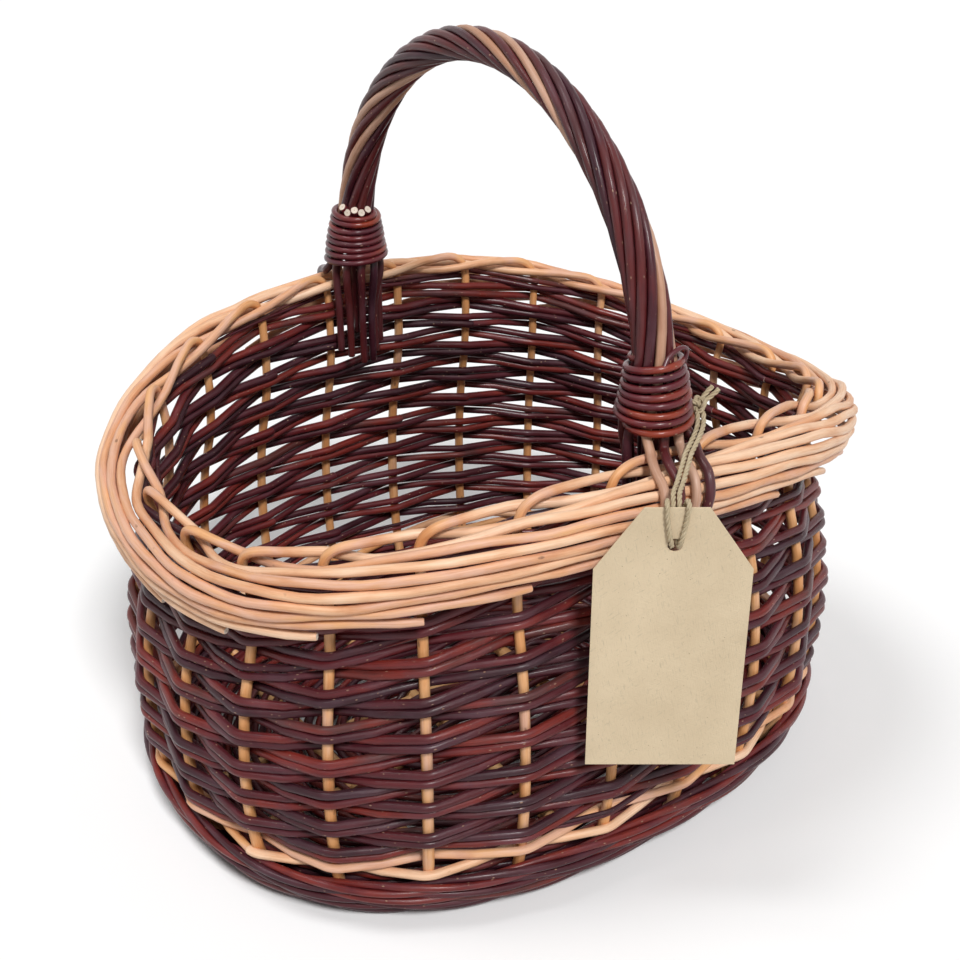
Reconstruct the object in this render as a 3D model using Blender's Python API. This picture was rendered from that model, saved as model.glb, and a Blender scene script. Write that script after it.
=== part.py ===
"""Oval foraging basket of woven willow with one twisted arch handle and a card tag on twine.

Metres, +Z up. The origin is the middle of the foot on the floor, X runs along the basket and the handle
stands in the YZ plane. Every stake starts at the base, rises through the weave and bends over at the rim,
where it becomes one rod of the rolled border.
"""

import math

import bmesh
import bpy
import numpy as np
from mathutils import Matrix, Vector

# The rim: its outer oval, its height and how far it dips at the ends and rises at the handle
rim_half_length = 0.2000
rim_half_width = 0.1604
oval_power = 2.32
rim_height = 0.2100
rim_saddle = 0.0184

# Stakes and the rods that they become in the border
stake_count = 24
first_stake_share = 0.3 / stake_count
stake_diameter = 0.0058
border_rod_diameter = 0.0046
tail_end_diameter = 0.0040
seat_gap = 0.0003
rod_gap = 0.0005
hook_inset = 0.0210
hook_bend_radius = 0.0062
hook_turn_degrees = (20.0, 70.0)

# The stakes' line up the wall: shares of the rim's height and of the wall's lean
wall_lean = 0.0243
wall_profile_shares = (
    (0.114, 0.741),
    (0.230, 0.520),
    (0.430, 0.450),
    (0.600, 0.620),
    (0.760, 0.960),
    (0.880, 1.000),
)

# Border rod, one row for each place: stake spacings from its own stake, then rod steps inwards and downwards
border_path_shares = (
    (0.5, 0.55, 0.00),
    (1.0, 1.06, 0.63),
    (1.5, 0.10, 1.26),
    (2.0, -1.06, 1.14),
    (3.0, -2.08, 0.73),
    (4.0, -3.02, 1.24),
    (5.0, -3.57, 2.16),
    (6.0, -3.65, 3.20),
    (7.0, -3.41, 4.22),
    (8.0, -3.06, 5.22),
    (9.0, -2.67, 6.20),
)

# Side weave: two strands of paired rods that wind up the wall in opposite step
weave_rod_diameter = 0.0042
weave_bottom = 0.0405
weave_top_drop = 0.0128
course_count = 16
strand_count = 2
strand_overrun = 0.0030
strand_joint_gap = 0.0010
course_gap = 0.0008
least_course_share = 0.3
pair_waist_share = 0.5

# Pairing band of two peeled rods, and the waled foot under it
pairing_rod_diameter = 0.0047
wale_rod_diameter = 0.0070
wale_inset = 0.0262
wale_rod_place_shares = ((0.0, 0.5), (-0.80, 1.03), (-1.46, 1.83), (-1.94, 2.73), (-2.20, 3.66))
wale_groove_share = 0.3
wale_back_share = 0.8

# Base: sticks laid across each other and the woven oval round them
base_height = 0.0107
base_inset = 0.0375
base_thickness = 0.0110
base_ridge_depth = 0.0010
base_ridge_shares = (1.0, 0.86, 0.72, 0.58, 0.44)
base_edge_share = 0.55
upsett_gap = 0.0009
upsett_rise = 0.0022
upsett_turn_inset = 0.0248
cross_stick_diameter = 0.0076
cross_stick_places = (-0.1020, -0.0340, 0.0340, 0.1020)
long_stick_diameter = 0.0046
long_stick_places = (-0.0230, 0.0230)
stick_set_back = 0.0030
stick_sides = 8
edge_samples = 90
cutter_overrun = 0.0100

# Handle: a bent core with rods twisted round it
handle_half_span = 0.1265
handle_base_height = 0.2450
handle_rise = 0.1335
handle_rod_count = 10
handle_twist_turns = 2.1
handle_rod_diameter = 0.0042
handle_rod_top_diameter = 0.0033
handle_ring_radius = 0.0076
handle_ring_top_radius = 0.0064
handle_ring_foot_radius = 0.0118
handle_core_diameter = 0.0088
handle_core_top_diameter = 0.0068
handle_core_tip_diameter = 0.0070
handle_core_foot_height = 0.1950
handle_foot_set_in = 0.0012
handle_stations = 17
core_stations = 15
twist_ease_share = 0.45

# Feet of the handle's rods: those on the outer side go over the border, the others go down inside the wall
outer_foot_places = (0.0046, 0.0128)
outer_foot_profile_shares = (3.0, 4.0, 5.0, 6.5, 8.0)
foot_gap = 0.0008
outer_foot_end_height = 0.1880
outer_foot_end_inset = 0.0030
inner_foot_places = ((0.0130, 0.0010), (0.0082, 0.0042), (0.0030, 0.0094))
inner_foot_end_heights = (0.1860, 0.1820, 0.1790)
inner_foot_diameter = 0.0040

# Bindings round the handle's legs
binding_rod_diameter = 0.0032
binding_foot_height = 0.2385
binding_top_height = 0.2680
binding_turns = 7
binding_points_per_turn = 10
binding_start_degrees = -110.0
binding_slack = 0.0006

# Twine and card tag
twine_diameter = 0.0022
knot_diameter = 0.0066
knot_place = (0.0200, -0.1335, 0.2425)
hitch_height = 0.2335
knot_neck = ((0.0196, -0.1310, 0.2352), (0.0204, -0.1332, 0.2400))
knot_ends = (
    ((0.0262, -0.1322, 0.2462), (0.0312, -0.1330, 0.2450)),
    ((0.0236, -0.1392, 0.2466), (0.0262, -0.1440, 0.2446)),
)
knot_sides = 8
tag_width = 0.0680
tag_height = 0.1340
tag_thickness = 0.0008
tag_chamfer = 0.0170
tag_hole_diameter = 0.0062
tag_hole_below_top = 0.0180
tag_hole_place = (-0.0303, -0.1776, 0.2083)
tag_heading_degrees = 35.4
tag_hole_sides = 16

# The twine's route from the knot, as across the tag, out from its face and up, all from the hole's middle
twine_spread = 0.0013
twine_lead = (
    (0.0164, -0.0620, 0.0318),
    (0.0161, -0.0572, 0.0290),
    (0.0147, -0.0520, 0.0275),
    (0.0127, -0.0470, 0.0260),
    (0.0105, -0.0420, 0.0246),
    (0.0084, -0.0370, 0.0234),
    (0.0070, -0.0320, 0.0222),
    (0.0055, -0.0270, 0.0212),
    (0.0041, -0.0220, 0.0202),
    (0.0025, -0.0165, 0.0195),
    (0.0006, -0.0100, 0.0190),
    (0.0001, -0.0052, 0.0172),
    (0.0000, -0.0024, 0.0130),
    (0.0000, -0.0019, 0.0080),
    (0.0000, -0.0019, 0.0020),
)
twine_hitch = (
    (0.0014, 0.0000, -0.0006),
    (0.0021, 0.0019, 0.0024),
    (0.0034, 0.0019, 0.0090),
    (0.0043, 0.0020, 0.0160),
    (0.0045, 0.0016, 0.0196),
    (0.0044, 0.0000, 0.0208),
    (0.0042, -0.0024, 0.0196),
    (0.0036, -0.0055, 0.0156),
    (0.0020, -0.0070, 0.0140),
)
twine_bight = (0.0000, -0.0075, 0.0136)

# Finishes
peeled_willow = ("peeled_willow", (0.72, 0.47, 0.27), 0.5)
brown_willow = ("brown_willow", (0.085, 0.024, 0.028), 0.42)
red_willow = ("red_willow", (0.14, 0.030, 0.024), 0.38)
kraft_card = ("kraft_card", (0.60, 0.49, 0.31), 0.9)
jute_twine = ("jute_twine", (0.50, 0.42, 0.28), 0.85)

border_step = border_rod_diameter + rod_gap
stake_radius = stake_diameter / 2
border_radius = border_rod_diameter / 2
twine_radius = twine_diameter / 2
up = Vector((0, 0, 1))


def clear_scene():
    for item in list(bpy.data.objects):
        bpy.data.objects.remove(item, do_unlink=True)


def material(finish):
    name, colour, roughness = finish
    made = bpy.data.materials.get(name)
    if made is None:
        made = bpy.data.materials.new(name)
        made.use_nodes = True
        shader = made.node_tree.nodes["Principled BSDF"]
        shader.inputs["Base Color"].default_value = (*colour, 1)
        shader.inputs["Roughness"].default_value = roughness
    return made


def add_object(name, data, finish, origin=None):
    made = bpy.data.objects.new(name, data)
    bpy.context.scene.collection.objects.link(made)
    data.materials.append(material(finish))
    if origin is not None:
        made.location = origin
    return made


def rod(name, points, diameters, finish, closed=False, resolution=1, origin=None):
    """A round rod along the points, with one diameter or one for each point."""
    curve = bpy.data.curves.new(name, "CURVE")
    curve.dimensions = "3D"
    curve.bevel_depth = 1.0
    curve.bevel_resolution = resolution
    curve.use_fill_caps = not closed
    spline = curve.splines.new("POLY")
    spline.points.add(len(points) - 1)
    start = Vector((0, 0, 0)) if origin is None else Vector(origin)
    if not isinstance(diameters, list):
        diameters = [diameters] * len(points)
    for knot, point, diameter in zip(spline.points, points, diameters):
        knot.co = (*(point - start), 1)
        knot.radius = diameter / 2
    spline.use_cyclic_u = closed
    spline.use_smooth = True
    return add_object(name, curve, finish, origin)


def finish_mesh(build, name, smooth_degrees=50.0):
    mesh = bpy.data.meshes.new(name)
    bmesh.ops.recalc_face_normals(build, faces=build.faces)
    build.to_mesh(mesh)
    build.free()
    mesh.shade_smooth()
    mesh.set_sharp_from_angle(angle=math.radians(smooth_degrees))
    return mesh


def loft(build, sections, closed):
    """Faces through a row of like sections. The ends are capped, or meet when closed."""
    loops = [[build.verts.new(point) for point in section] for section in sections]
    pairs = list(zip(loops, loops[1:]))
    if closed:
        pairs.append((loops[-1], loops[0]))
    for first, second in pairs:
        for side, corner in enumerate(first):
            after = (side + 1) % len(first)
            build.faces.new((corner, first[after], second[after], second[side]))
    if not closed:
        build.faces.new(reversed(loops[0]))
        build.faces.new(loops[-1])


def lofted(name, sections, closed, finish):
    build = bmesh.new()
    loft(build, sections, closed)
    return add_object(name, finish_mesh(build, name), finish)


def bars(name, ends, diameter, finish):
    """Straight round bars in one mesh, each between its two ends."""
    build = bmesh.new()
    for start, end in ends:
        along = end - start
        turn = along.to_track_quat("Z", "Y").to_matrix().to_4x4()
        bmesh.ops.create_cone(
            build,
            cap_ends=True,
            segments=stick_sides,
            radius1=diameter / 2,
            radius2=diameter / 2,
            depth=along.length,
            matrix=Matrix.Translation((start + end) / 2) @ turn,
        )
    return add_object(name, finish_mesh(build, name), finish)


def hide_cutter(cutter):
    cutter.hide_render = True
    cutter.display_type = "WIRE"


def combine(target, other, operation):
    modifier = target.modifiers.new(f"{operation.lower()} {other.name}", "BOOLEAN")
    modifier.operation = operation
    modifier.solver = "EXACT"
    modifier.object = other
    hide_cutter(other)


def signed_power(value, power):
    return math.copysign(abs(value) ** power, value)


def oval_point(angle):
    return Vector((
        rim_half_length * signed_power(math.cos(angle), 2 / oval_power),
        rim_half_width * signed_power(math.sin(angle), 2 / oval_power),
        0,
    ))


def oval_normal(angle):
    point = oval_point(angle)
    return Vector((
        signed_power(point.x / rim_half_length, oval_power - 1) / rim_half_length,
        signed_power(point.y / rim_half_width, oval_power - 1) / rim_half_width,
        0,
    )).normalized()


def measure_oval(samples=2880):
    """Angles round the rim's oval and the length run at each of them, to space the stakes evenly."""
    angles = [math.tau * index / samples for index in range(samples + 1)]
    corners = [oval_point(angle) for angle in angles]
    runs = [0.0]
    for before, after in zip(corners, corners[1:]):
        runs.append(runs[-1] + (after - before).length)
    return angles, runs


oval_angles, oval_runs = measure_oval()
rim_length = oval_runs[-1]
back_share = float(np.interp(math.pi / 2, oval_angles, oval_runs)) / rim_length


def angle_at(share):
    return float(np.interp((share % 1.0) * rim_length, oval_runs, oval_angles))


def rim_top(share):
    return rim_height - rim_saddle * math.cos(2 * angle_at(share))


def wall_height(share, height):
    """A level of the wall at this place: levels follow the rim's dip and rise."""
    return height * rim_top(share) / rim_height


def place(share, inset, height):
    """A point this share of the way round, moved in from the rim's outer oval along its normal."""
    angle = angle_at(share)
    point = oval_point(angle) - oval_normal(angle) * inset
    point.z = height
    return point


def stake_share(number):
    return first_stake_share + number / stake_count


def wall_inset(height):
    heights = [height_share * rim_height for height_share, _ in wall_profile_shares]
    insets = [lean_share * wall_lean for _, lean_share in wall_profile_shares]
    heights.append(rim_height - border_radius - hook_bend_radius)
    insets.append(hook_inset)
    return float(np.interp(height, heights, insets))


def border_place(share, spacings, inward, down, outwards=0.0):
    """A place on a border rod, or this far off it on the border's outer side."""
    here = share + spacings / stake_count
    drop = border_radius + down * border_step
    inset = hook_inset + inward * border_step
    if outwards:
        slope = border_slope(spacings)
        inset -= outwards * math.cos(slope)
        drop -= outwards * math.sin(slope)
    return place(here, inset, rim_top(here) - drop)


def border_profile(spacings):
    places = [row[0] for row in border_path_shares]
    inward = float(np.interp(spacings, places, [row[1] for row in border_path_shares]))
    down = float(np.interp(spacings, places, [row[2] for row in border_path_shares]))
    return inward, down


def border_slope(spacings):
    """How steeply upwards the border's outer side faces at this place of its section."""
    inward_before, down_before = border_profile(spacings - 1)
    inward_after, down_after = border_profile(spacings + 1)
    return math.atan2(inward_before - inward_after, down_after - down_before)


def stake_path(number):
    """One stake from the base up the wall, over its hook at the rim and down round the border."""
    share = stake_share(number)
    points = [
        place(share, base_inset - upsett_gap, base_height),
        place(share, upsett_turn_inset, base_height + upsett_rise),
    ]
    points += [
        place(share, lean_share * wall_lean, wall_height(share, height_share * rim_height))
        for height_share, lean_share in wall_profile_shares
    ]
    diameters = [stake_diameter] * (len(points) - 2)
    diameters += [(stake_diameter + border_rod_diameter) / 2, border_rod_diameter]
    for turn in map(math.radians, hook_turn_degrees):
        along = hook_bend_radius * (1 - math.cos(turn))
        drop = border_radius + hook_bend_radius * (1 - math.sin(turn))
        here = share + along / rim_length
        points.append(place(here, hook_inset, rim_top(here) - drop))
        diameters.append(border_rod_diameter)
    for spacings, inward, down in border_path_shares:
        points.append(border_place(share, spacings, inward, down))
        diameters.append(border_rod_diameter)
    diameters[-1] = tail_end_diameter
    return points, diameters


def add_stakes():
    for number in range(stake_count):
        points, diameters = stake_path(number)
        rod(f"stake_{number + 1:02d}", points, diameters, peeled_willow)


def half_turns(points, closed):
    """Half of the turn that a path makes at each of its points, seen from above."""
    turns = []
    for index, point in enumerate(points):
        if not closed and index in (0, len(points) - 1):
            turns.append(None)
            continue
        first = (point - points[index - 1]).to_2d()
        second = (points[(index + 1) % len(points)] - point).to_2d()
        turns.append(abs(first.angle_signed(second)) / 2)
    if not closed:
        turns[0] = turns[1]
        turns[-1] = turns[-2]
    return turns


def woven_reach(shares, heights, sides, rod_radius, closed):
    """How far a rod stands off the stakes' line at each stake, to be just clear of it where the rod turns."""
    clear = stake_radius + seat_gap + rod_radius
    reaches = [clear] * len(shares)
    for _ in range(3):
        points = [
            place(share, wall_inset(height) - side * reach, wall_height(share, height))
            for share, height, side, reach in zip(shares, heights, sides, reaches)
        ]
        turns = half_turns(points, closed)
        reaches = [clear / math.cos(turn) for turn in turns]
    return reaches, turns


def pair_section(share, middle, standoff, half_height, half_width):
    """Two rods lying one on the other, seen end on and leaning with the wall."""
    waist = half_width * pair_waist_share
    corners = (
        (0, half_height),
        (half_width, half_height / 2),
        (waist, 0),
        (half_width, -half_height / 2),
        (0, -half_height),
        (-half_width, -half_height / 2),
        (-waist, 0),
        (-half_width, half_height / 2),
    )
    section = []
    for across, rise in corners:
        height = middle + rise
        inset = wall_inset(height) - standoff - across
        section.append(place(share, inset, wall_height(share, height)))
    return section


def strand_levels():
    """For each stake passed: the lower and upper edge of the strand, level at the weave's bottom and top."""
    weave_rise = rim_height - weave_top_drop - weave_bottom
    pitch = weave_rise / course_count
    half_turn = stake_count // strand_count
    levels = []
    for step in range(-half_turn, course_count * half_turn + 1):
        level = pitch * step / half_turn
        lower = max(level, 0.0)
        upper = min(level + pitch, weave_rise)
        if upper - lower > least_course_share * pitch:
            levels.append((step, weave_bottom + lower, weave_bottom + upper))
    return levels


def add_strand(name, first_stake, strand, levels, joined):
    """A strand of paired rods that passes outside one stake and inside the next. It ends on a stake."""
    shares = [stake_share(first_stake + step) for step, _, _ in levels]
    middles = [(lower + upper) / 2 for _, lower, upper in levels]
    sides = [1 if (step + strand) % 2 else -1 for step, _, _ in levels]
    radius = weave_rod_diameter / 2
    reaches, turns = woven_reach(shares, middles, sides, radius, closed=False)
    sections = []
    for share, row, side, reach, turn in zip(shares, levels, sides, reaches, turns):
        _, lower, upper = row
        half_height = (upper - lower - course_gap) / 2
        middle = (lower + upper) / 2
        half_width = min(radius, half_height) / math.cos(turn)
        sections.append(pair_section(share, middle, side * reach, half_height, half_width))
    first = moved_on(sections[1], sections[0], strand_overrun)
    if joined:
        last = moved_on(sections[-2], sections[-1], -strand_overrun - strand_joint_gap)
        sections = sections[:-1]
    else:
        last = moved_on(sections[-2], sections[-1], strand_overrun)
    lofted(name, [first] + sections + [last], False, brown_willow)


def moved_on(before, section, distance):
    """A strand's section moved this far along the strand, away from the section before it."""
    return [corner + (corner - other).normalized() * distance for other, corner in zip(before, section)]


def add_side_weave():
    """Each strand is two lengths, which meet beside a stake as its joined rods do."""
    levels = strand_levels()
    middle = len(levels) // 2
    for strand in range(strand_count):
        first_stake = strand * (stake_count // strand_count)
        letter = "ab"[strand]
        add_strand(f"side_weave_lower_{letter}", first_stake, strand, levels[: middle + 1], True)
        add_strand(f"side_weave_upper_{letter}", first_stake, strand, levels[middle:], False)


def pairing_rod(name, height, odd_side):
    """One peeled rod woven once round the stakes."""
    shares = [stake_share(number) for number in range(stake_count)]
    heights = [height] * stake_count
    sides = [odd_side if number % 2 else -odd_side for number in range(stake_count)]
    radius = pairing_rod_diameter / 2
    reaches, _ = woven_reach(shares, heights, sides, radius, closed=True)
    points = [
        place(share, wall_inset(height) - side * reach, wall_height(share, height))
        for share, side, reach in zip(shares, sides, reaches)
    ]
    rod(name, points, pairing_rod_diameter, peeled_willow, closed=True)


def add_pairing_band():
    """The rods are laid as close as they come where the rim dips and the levels of the wall draw together."""
    squeeze = (rim_height - rim_saddle) / rim_height
    pitch = (pairing_rod_diameter + seat_gap) / squeeze
    upper = weave_bottom - pitch / 2
    pairing_rod("pairing_rod_upper", upper, -1)
    pairing_rod("pairing_rod_lower", upper - pitch, 1)


def wale_outline():
    """The waled foot seen end on, as inset and height: a lobe for each rod, and flat where it stands."""
    radius = wale_rod_diameter / 2
    centres = [
        Vector((wale_inset + across * wale_rod_diameter, rise * wale_rod_diameter))
        for across, rise in wale_rod_place_shares
    ]
    outside = [Vector((centres[0].x + radius / 2, 0)), Vector((centres[0].x - radius * wale_back_share, 0))]
    inside = [Vector((centres[0].x + radius * wale_back_share, radius))]
    for index in range(1, len(centres)):
        before = centres[index - 1]
        centre = centres[index]
        along = (centre - before).normalized()
        outward = Vector((-along.y, along.x))
        outside.append((before + centre) / 2 + outward * radius * wale_groove_share)
        outside.append(centre + outward * radius)
        inside.append(centre - outward * radius * wale_back_share)
    outside.append(centres[-1] + (centres[-1] - centres[-2]).normalized() * radius * wale_back_share)
    return outside + inside[::-1]


def add_foot_wale():
    outline = wale_outline()
    sections = []
    for number in range(stake_count):
        share = stake_share(number)
        sections.append([place(share, corner.x, wall_height(share, corner.y)) for corner in outline])
    lofted("foot_wale", sections, True, brown_willow)


def base_half_span(along_x, beside):
    """How far the base reaches from the middle along one axis, on a line this far beside that axis."""
    edge = [place(back_share * step / edge_samples, base_inset, 0) for step in range(edge_samples + 1)]
    if along_x:
        return float(np.interp(beside, [point.y for point in edge], [point.x for point in edge]))
    edge.reverse()
    return float(np.interp(beside, [point.x for point in edge], [point.y for point in edge]))


def stick_ends(places, along_x, overrun):
    """Both ends of each stick, this far past the base's edge."""
    ends = []
    for beside in places:
        half = base_half_span(along_x, abs(beside)) + overrun
        if along_x:
            ends.append((Vector((-half, beside, base_height)), Vector((half, beside, base_height))))
        else:
            ends.append((Vector((beside, -half, base_height)), Vector((beside, half, base_height))))
    return ends


def add_base():
    """The woven plate with a bore for each stick. The long sticks pass through slits in the cross sticks."""
    rings = []
    for index, ring_share in enumerate(base_ridge_shares):
        half = base_thickness / 2 - (index % 2) * base_ridge_depth
        rings.append((ring_share, half * base_edge_share if index == 0 else half))
    outline = [(ring_share, half) for ring_share, half in reversed(rings)]
    outline += [(ring_share, -half) for ring_share, half in rings]
    sections = []
    for ring_share, rise in outline:
        section = []
        for number in range(stake_count):
            edge = place(stake_share(number), base_inset, 0)
            section.append(Vector((edge.x * ring_share, edge.y * ring_share, base_height + rise)))
        sections.append(section)
    plate = lofted("base_weave", sections, False, brown_willow)
    bore_gap = 2 * seat_gap
    cross_cutter = bars(
        "cross_bores",
        stick_ends(cross_stick_places, False, cutter_overrun),
        cross_stick_diameter + bore_gap,
        brown_willow,
    )
    long_cutter = bars(
        "long_bores",
        stick_ends(long_stick_places, True, cutter_overrun),
        long_stick_diameter + bore_gap,
        brown_willow,
    )
    combine(plate, cross_cutter, "DIFFERENCE")
    combine(plate, long_cutter, "DIFFERENCE")
    for index, ends in enumerate(stick_ends(cross_stick_places, False, -stick_set_back)):
        stick = bars(f"cross_stick_{index + 1}", [ends], cross_stick_diameter, peeled_willow)
        combine(stick, long_cutter, "DIFFERENCE")
    for index, ends in enumerate(stick_ends(long_stick_places, True, -stick_set_back)):
        bars(f"long_stick_{index + 1}", [ends], long_stick_diameter, peeled_willow)


def handle_angle(height):
    """The arch's angle from its front foot at this height of the front leg."""
    return math.asin((height - handle_base_height) / handle_rise)


def handle_frame(angle):
    """The arch's middle line at this angle, with the way outwards from the arch and the way across it."""
    centre = Vector((
        0,
        -handle_half_span * math.cos(angle),
        handle_base_height + handle_rise * math.sin(angle),
    ))
    outward = Vector((0, -handle_rise * math.cos(angle), handle_half_span * math.sin(angle))).normalized()
    return centre, outward, Vector((1, 0, 0))


def blend(leg, top, angle):
    return leg + (top - leg) * max(math.sin(angle), 0) ** 2


def ring_radius(angle):
    """Radius of the ring of rods: it flares out under the binding."""
    height = handle_base_height + handle_rise * math.sin(angle)
    flare = (binding_top_height - height) / (binding_top_height - binding_foot_height)
    spread = handle_ring_foot_radius - handle_ring_radius
    return blend(handle_ring_radius, handle_ring_top_radius, angle) + spread * max(flare, 0)


def twist_at(angle):
    foot = handle_angle(binding_foot_height)
    way = (angle - foot) / (math.pi - 2 * foot)
    eased = way * way * (3 - 2 * way)
    share = (1 - twist_ease_share) * way + twist_ease_share * eased
    return math.tau * handle_twist_turns * share


def rod_angles():
    """Stations of a rod along the arch: a few under each binding, then even steps over the top."""
    foot = handle_angle(binding_foot_height)
    top = handle_angle(binding_top_height)
    leg = [foot, (foot + top) / 2]
    arch = [top + (math.pi - 2 * top) * step / (handle_stations - 1) for step in range(handle_stations)]
    return leg + arch + [math.pi - angle for angle in reversed(leg)]


def front_foot(turn):
    """A rod's points from its end up to the binding on the front leg. The turn is its angle from outwards."""
    turn = (turn + math.pi) % math.tau - math.pi
    side = 1 if turn > 0 else -1
    order = round(abs(math.degrees(turn)) / (360 / handle_rod_count) - 0.5)
    if order < len(outer_foot_places):
        return outer_foot(side * outer_foot_places[order])
    order -= len(outer_foot_places)
    across, set_in = inner_foot_places[order]
    height = inner_foot_end_heights[order]
    end = Vector((side * across, -handle_half_span + set_in, height))
    knee = end + up * (rim_height - height)
    return [end, knee], [inner_foot_diameter, inner_foot_diameter]


def outer_foot(across):
    """Over the border and down its outer side. The points run up from the rod's end."""
    share = 1 - back_share + across / rim_length
    radius = handle_rod_diameter / 2
    off = border_radius + radius + foot_gap
    points = [place(share, outer_foot_end_inset, outer_foot_end_height)]
    for spacings in reversed(outer_foot_profile_shares):
        inward, down = border_profile(spacings)
        points.append(border_place(share - spacings / stake_count, spacings, inward, down, off))
    points.append(place(share, hook_inset, rim_top(share) + radius + foot_gap))
    return points, [handle_rod_diameter] * len(points)


def handle_rod(index):
    start = math.tau * (index + 0.5) / handle_rod_count
    points, diameters = front_foot(start)
    for angle in rod_angles():
        centre, outward, across = handle_frame(angle)
        turn = start + twist_at(angle)
        radius = ring_radius(angle)
        points.append(centre + (outward * math.cos(turn) + across * math.sin(turn)) * radius)
        diameters.append(blend(handle_rod_diameter, handle_rod_top_diameter, angle))
    half_turn = Matrix.Rotation(math.pi, 3, "Z")
    back_points, back_diameters = front_foot(-(start + twist_at(math.pi - handle_angle(binding_foot_height))))
    points += [half_turn @ point for point in reversed(back_points)]
    diameters += list(reversed(back_diameters))
    rod(f"handle_rod_{index + 1:02d}", points, diameters, red_willow)


def add_handle():
    foot = handle_angle(binding_foot_height)
    tip = Vector((0, -handle_half_span + handle_foot_set_in, handle_core_foot_height))
    points = [tip]
    diameters = [handle_core_tip_diameter]
    for step in range(core_stations):
        angle = foot + (math.pi - 2 * foot) * step / (core_stations - 1)
        points.append(handle_frame(angle)[0])
        diameters.append(blend(handle_core_diameter, handle_core_top_diameter, angle))
    points.append(Vector((tip.x, -tip.y, tip.z)))
    diameters.append(handle_core_tip_diameter)
    rod("handle_core", points, diameters, brown_willow, resolution=2)
    for index in range(handle_rod_count):
        handle_rod(index)


def binding_path():
    """The front binding's middle line, wound up the leg over the ring of rods."""
    points = []
    count = binding_turns * binding_points_per_turn
    tube = binding_rod_diameter / 2
    corner = math.cos(math.pi / binding_points_per_turn)
    for step in range(count + 1):
        height = binding_foot_height + (binding_top_height - binding_foot_height) * step / count
        angle = handle_angle(height)
        centre, outward, across = handle_frame(angle)
        turn = math.radians(binding_start_degrees) + math.tau * step / binding_points_per_turn
        radius = (ring_radius(angle) + handle_rod_diameter / 2 + binding_slack + tube) / corner
        points.append(centre + (outward * math.cos(turn) + across * math.sin(turn)) * radius)
    return points


def least_self_gap(points, diameter):
    """The smallest gap between points of a wound rod that lie at least half a turn apart along it."""
    apart = binding_points_per_turn // 2
    distances = [
        (points[first] - points[second]).length
        for first in range(len(points))
        for second in range(first + apart, len(points))
    ]
    return min(distances) - diameter


def add_bindings():
    points = binding_path()
    print("least gap between binding loops, m:", round(least_self_gap(points, binding_rod_diameter), 5))
    rod("binding_front", points, binding_rod_diameter, red_willow)
    half_turn = Matrix.Rotation(math.pi, 3, "Z")
    rod("binding_back", [half_turn @ point for point in points], binding_rod_diameter, red_willow)


def tag_place(across, out, rise):
    """A place given from the middle of the tag's hole: across the tag, out from its face and up."""
    heading = math.radians(tag_heading_degrees)
    right = Vector((math.cos(heading), -math.sin(heading), 0))
    face = Vector((-math.sin(heading), -math.cos(heading), 0))
    return Vector(tag_hole_place) + right * across + face * out + up * rise


def twine_path():
    """Both strands, from the knot through the hole and over the tag's top edge to the bight between them."""
    right = [(across + twine_spread, out, rise) for across, out, rise in twine_lead]
    left = [(across - twine_spread, out, rise) for across, out, rise in twine_lead]
    mirrored = [(-across, out, rise) for across, out, rise in reversed(twine_hitch)]
    route = right + list(twine_hitch) + [twine_bight] + mirrored + left[::-1]
    return [tag_place(*point) for point in route]


def tube_mesh(name, points, diameter, closed, finish):
    """A mesh tube along the points, for joining to another mesh."""
    sections = []
    count = len(points)
    for index, point in enumerate(points):
        before = points[index - 1] if index or closed else point
        after = points[(index + 1) % count] if index < count - 1 or closed else point
        along = (after - before).normalized()
        side = along.cross(up).normalized()
        rise = side.cross(along)
        section = []
        for corner in range(stick_sides):
            turn = math.tau * corner / stick_sides
            section.append(point + (side * math.cos(turn) + rise * math.sin(turn)) * diameter / 2)
        sections.append(section)
    return lofted(name, sections, closed, finish)


def add_twine_knot():
    """The knot beside the binding, with its loop round one handle rod and its two short ends."""
    knot = Vector(knot_place)
    build = bmesh.new()
    bmesh.ops.create_uvsphere(
        build, u_segments=knot_sides, v_segments=knot_sides // 2 + 1, radius=knot_diameter / 2,
        matrix=Matrix.Translation(knot),
    )
    lump = add_object("twine_knot", finish_mesh(build, "twine_knot"), jute_twine)
    centre, _, across = handle_frame(handle_angle(binding_foot_height))
    knee = front_foot(math.pi / 2)[0][1]
    bound = centre + across * handle_ring_foot_radius
    middle = knee.lerp(bound, (hitch_height - knee.z) / (bound.z - knee.z))
    ring_across = (handle_rod_diameter / 2 + seat_gap + twine_radius) / math.cos(math.pi / knot_sides)
    ring = []
    for corner in range(knot_sides):
        turn = math.tau * corner / knot_sides
        ring.append(middle + Vector((math.cos(turn), math.sin(turn), 0)) * ring_across)
    combine(lump, tube_mesh("knot_ring", ring, twine_diameter, True, jute_twine), "UNION")
    neck = [ring[0]] + [Vector(point) for point in knot_neck]
    combine(lump, tube_mesh("knot_neck", neck, twine_diameter, False, jute_twine), "UNION")
    for index, end in enumerate(knot_ends):
        points = [knot] + [Vector(point) for point in end]
        combine(lump, tube_mesh(f"knot_end_{index + 1}", points, twine_diameter, False, jute_twine), "UNION")


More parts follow.
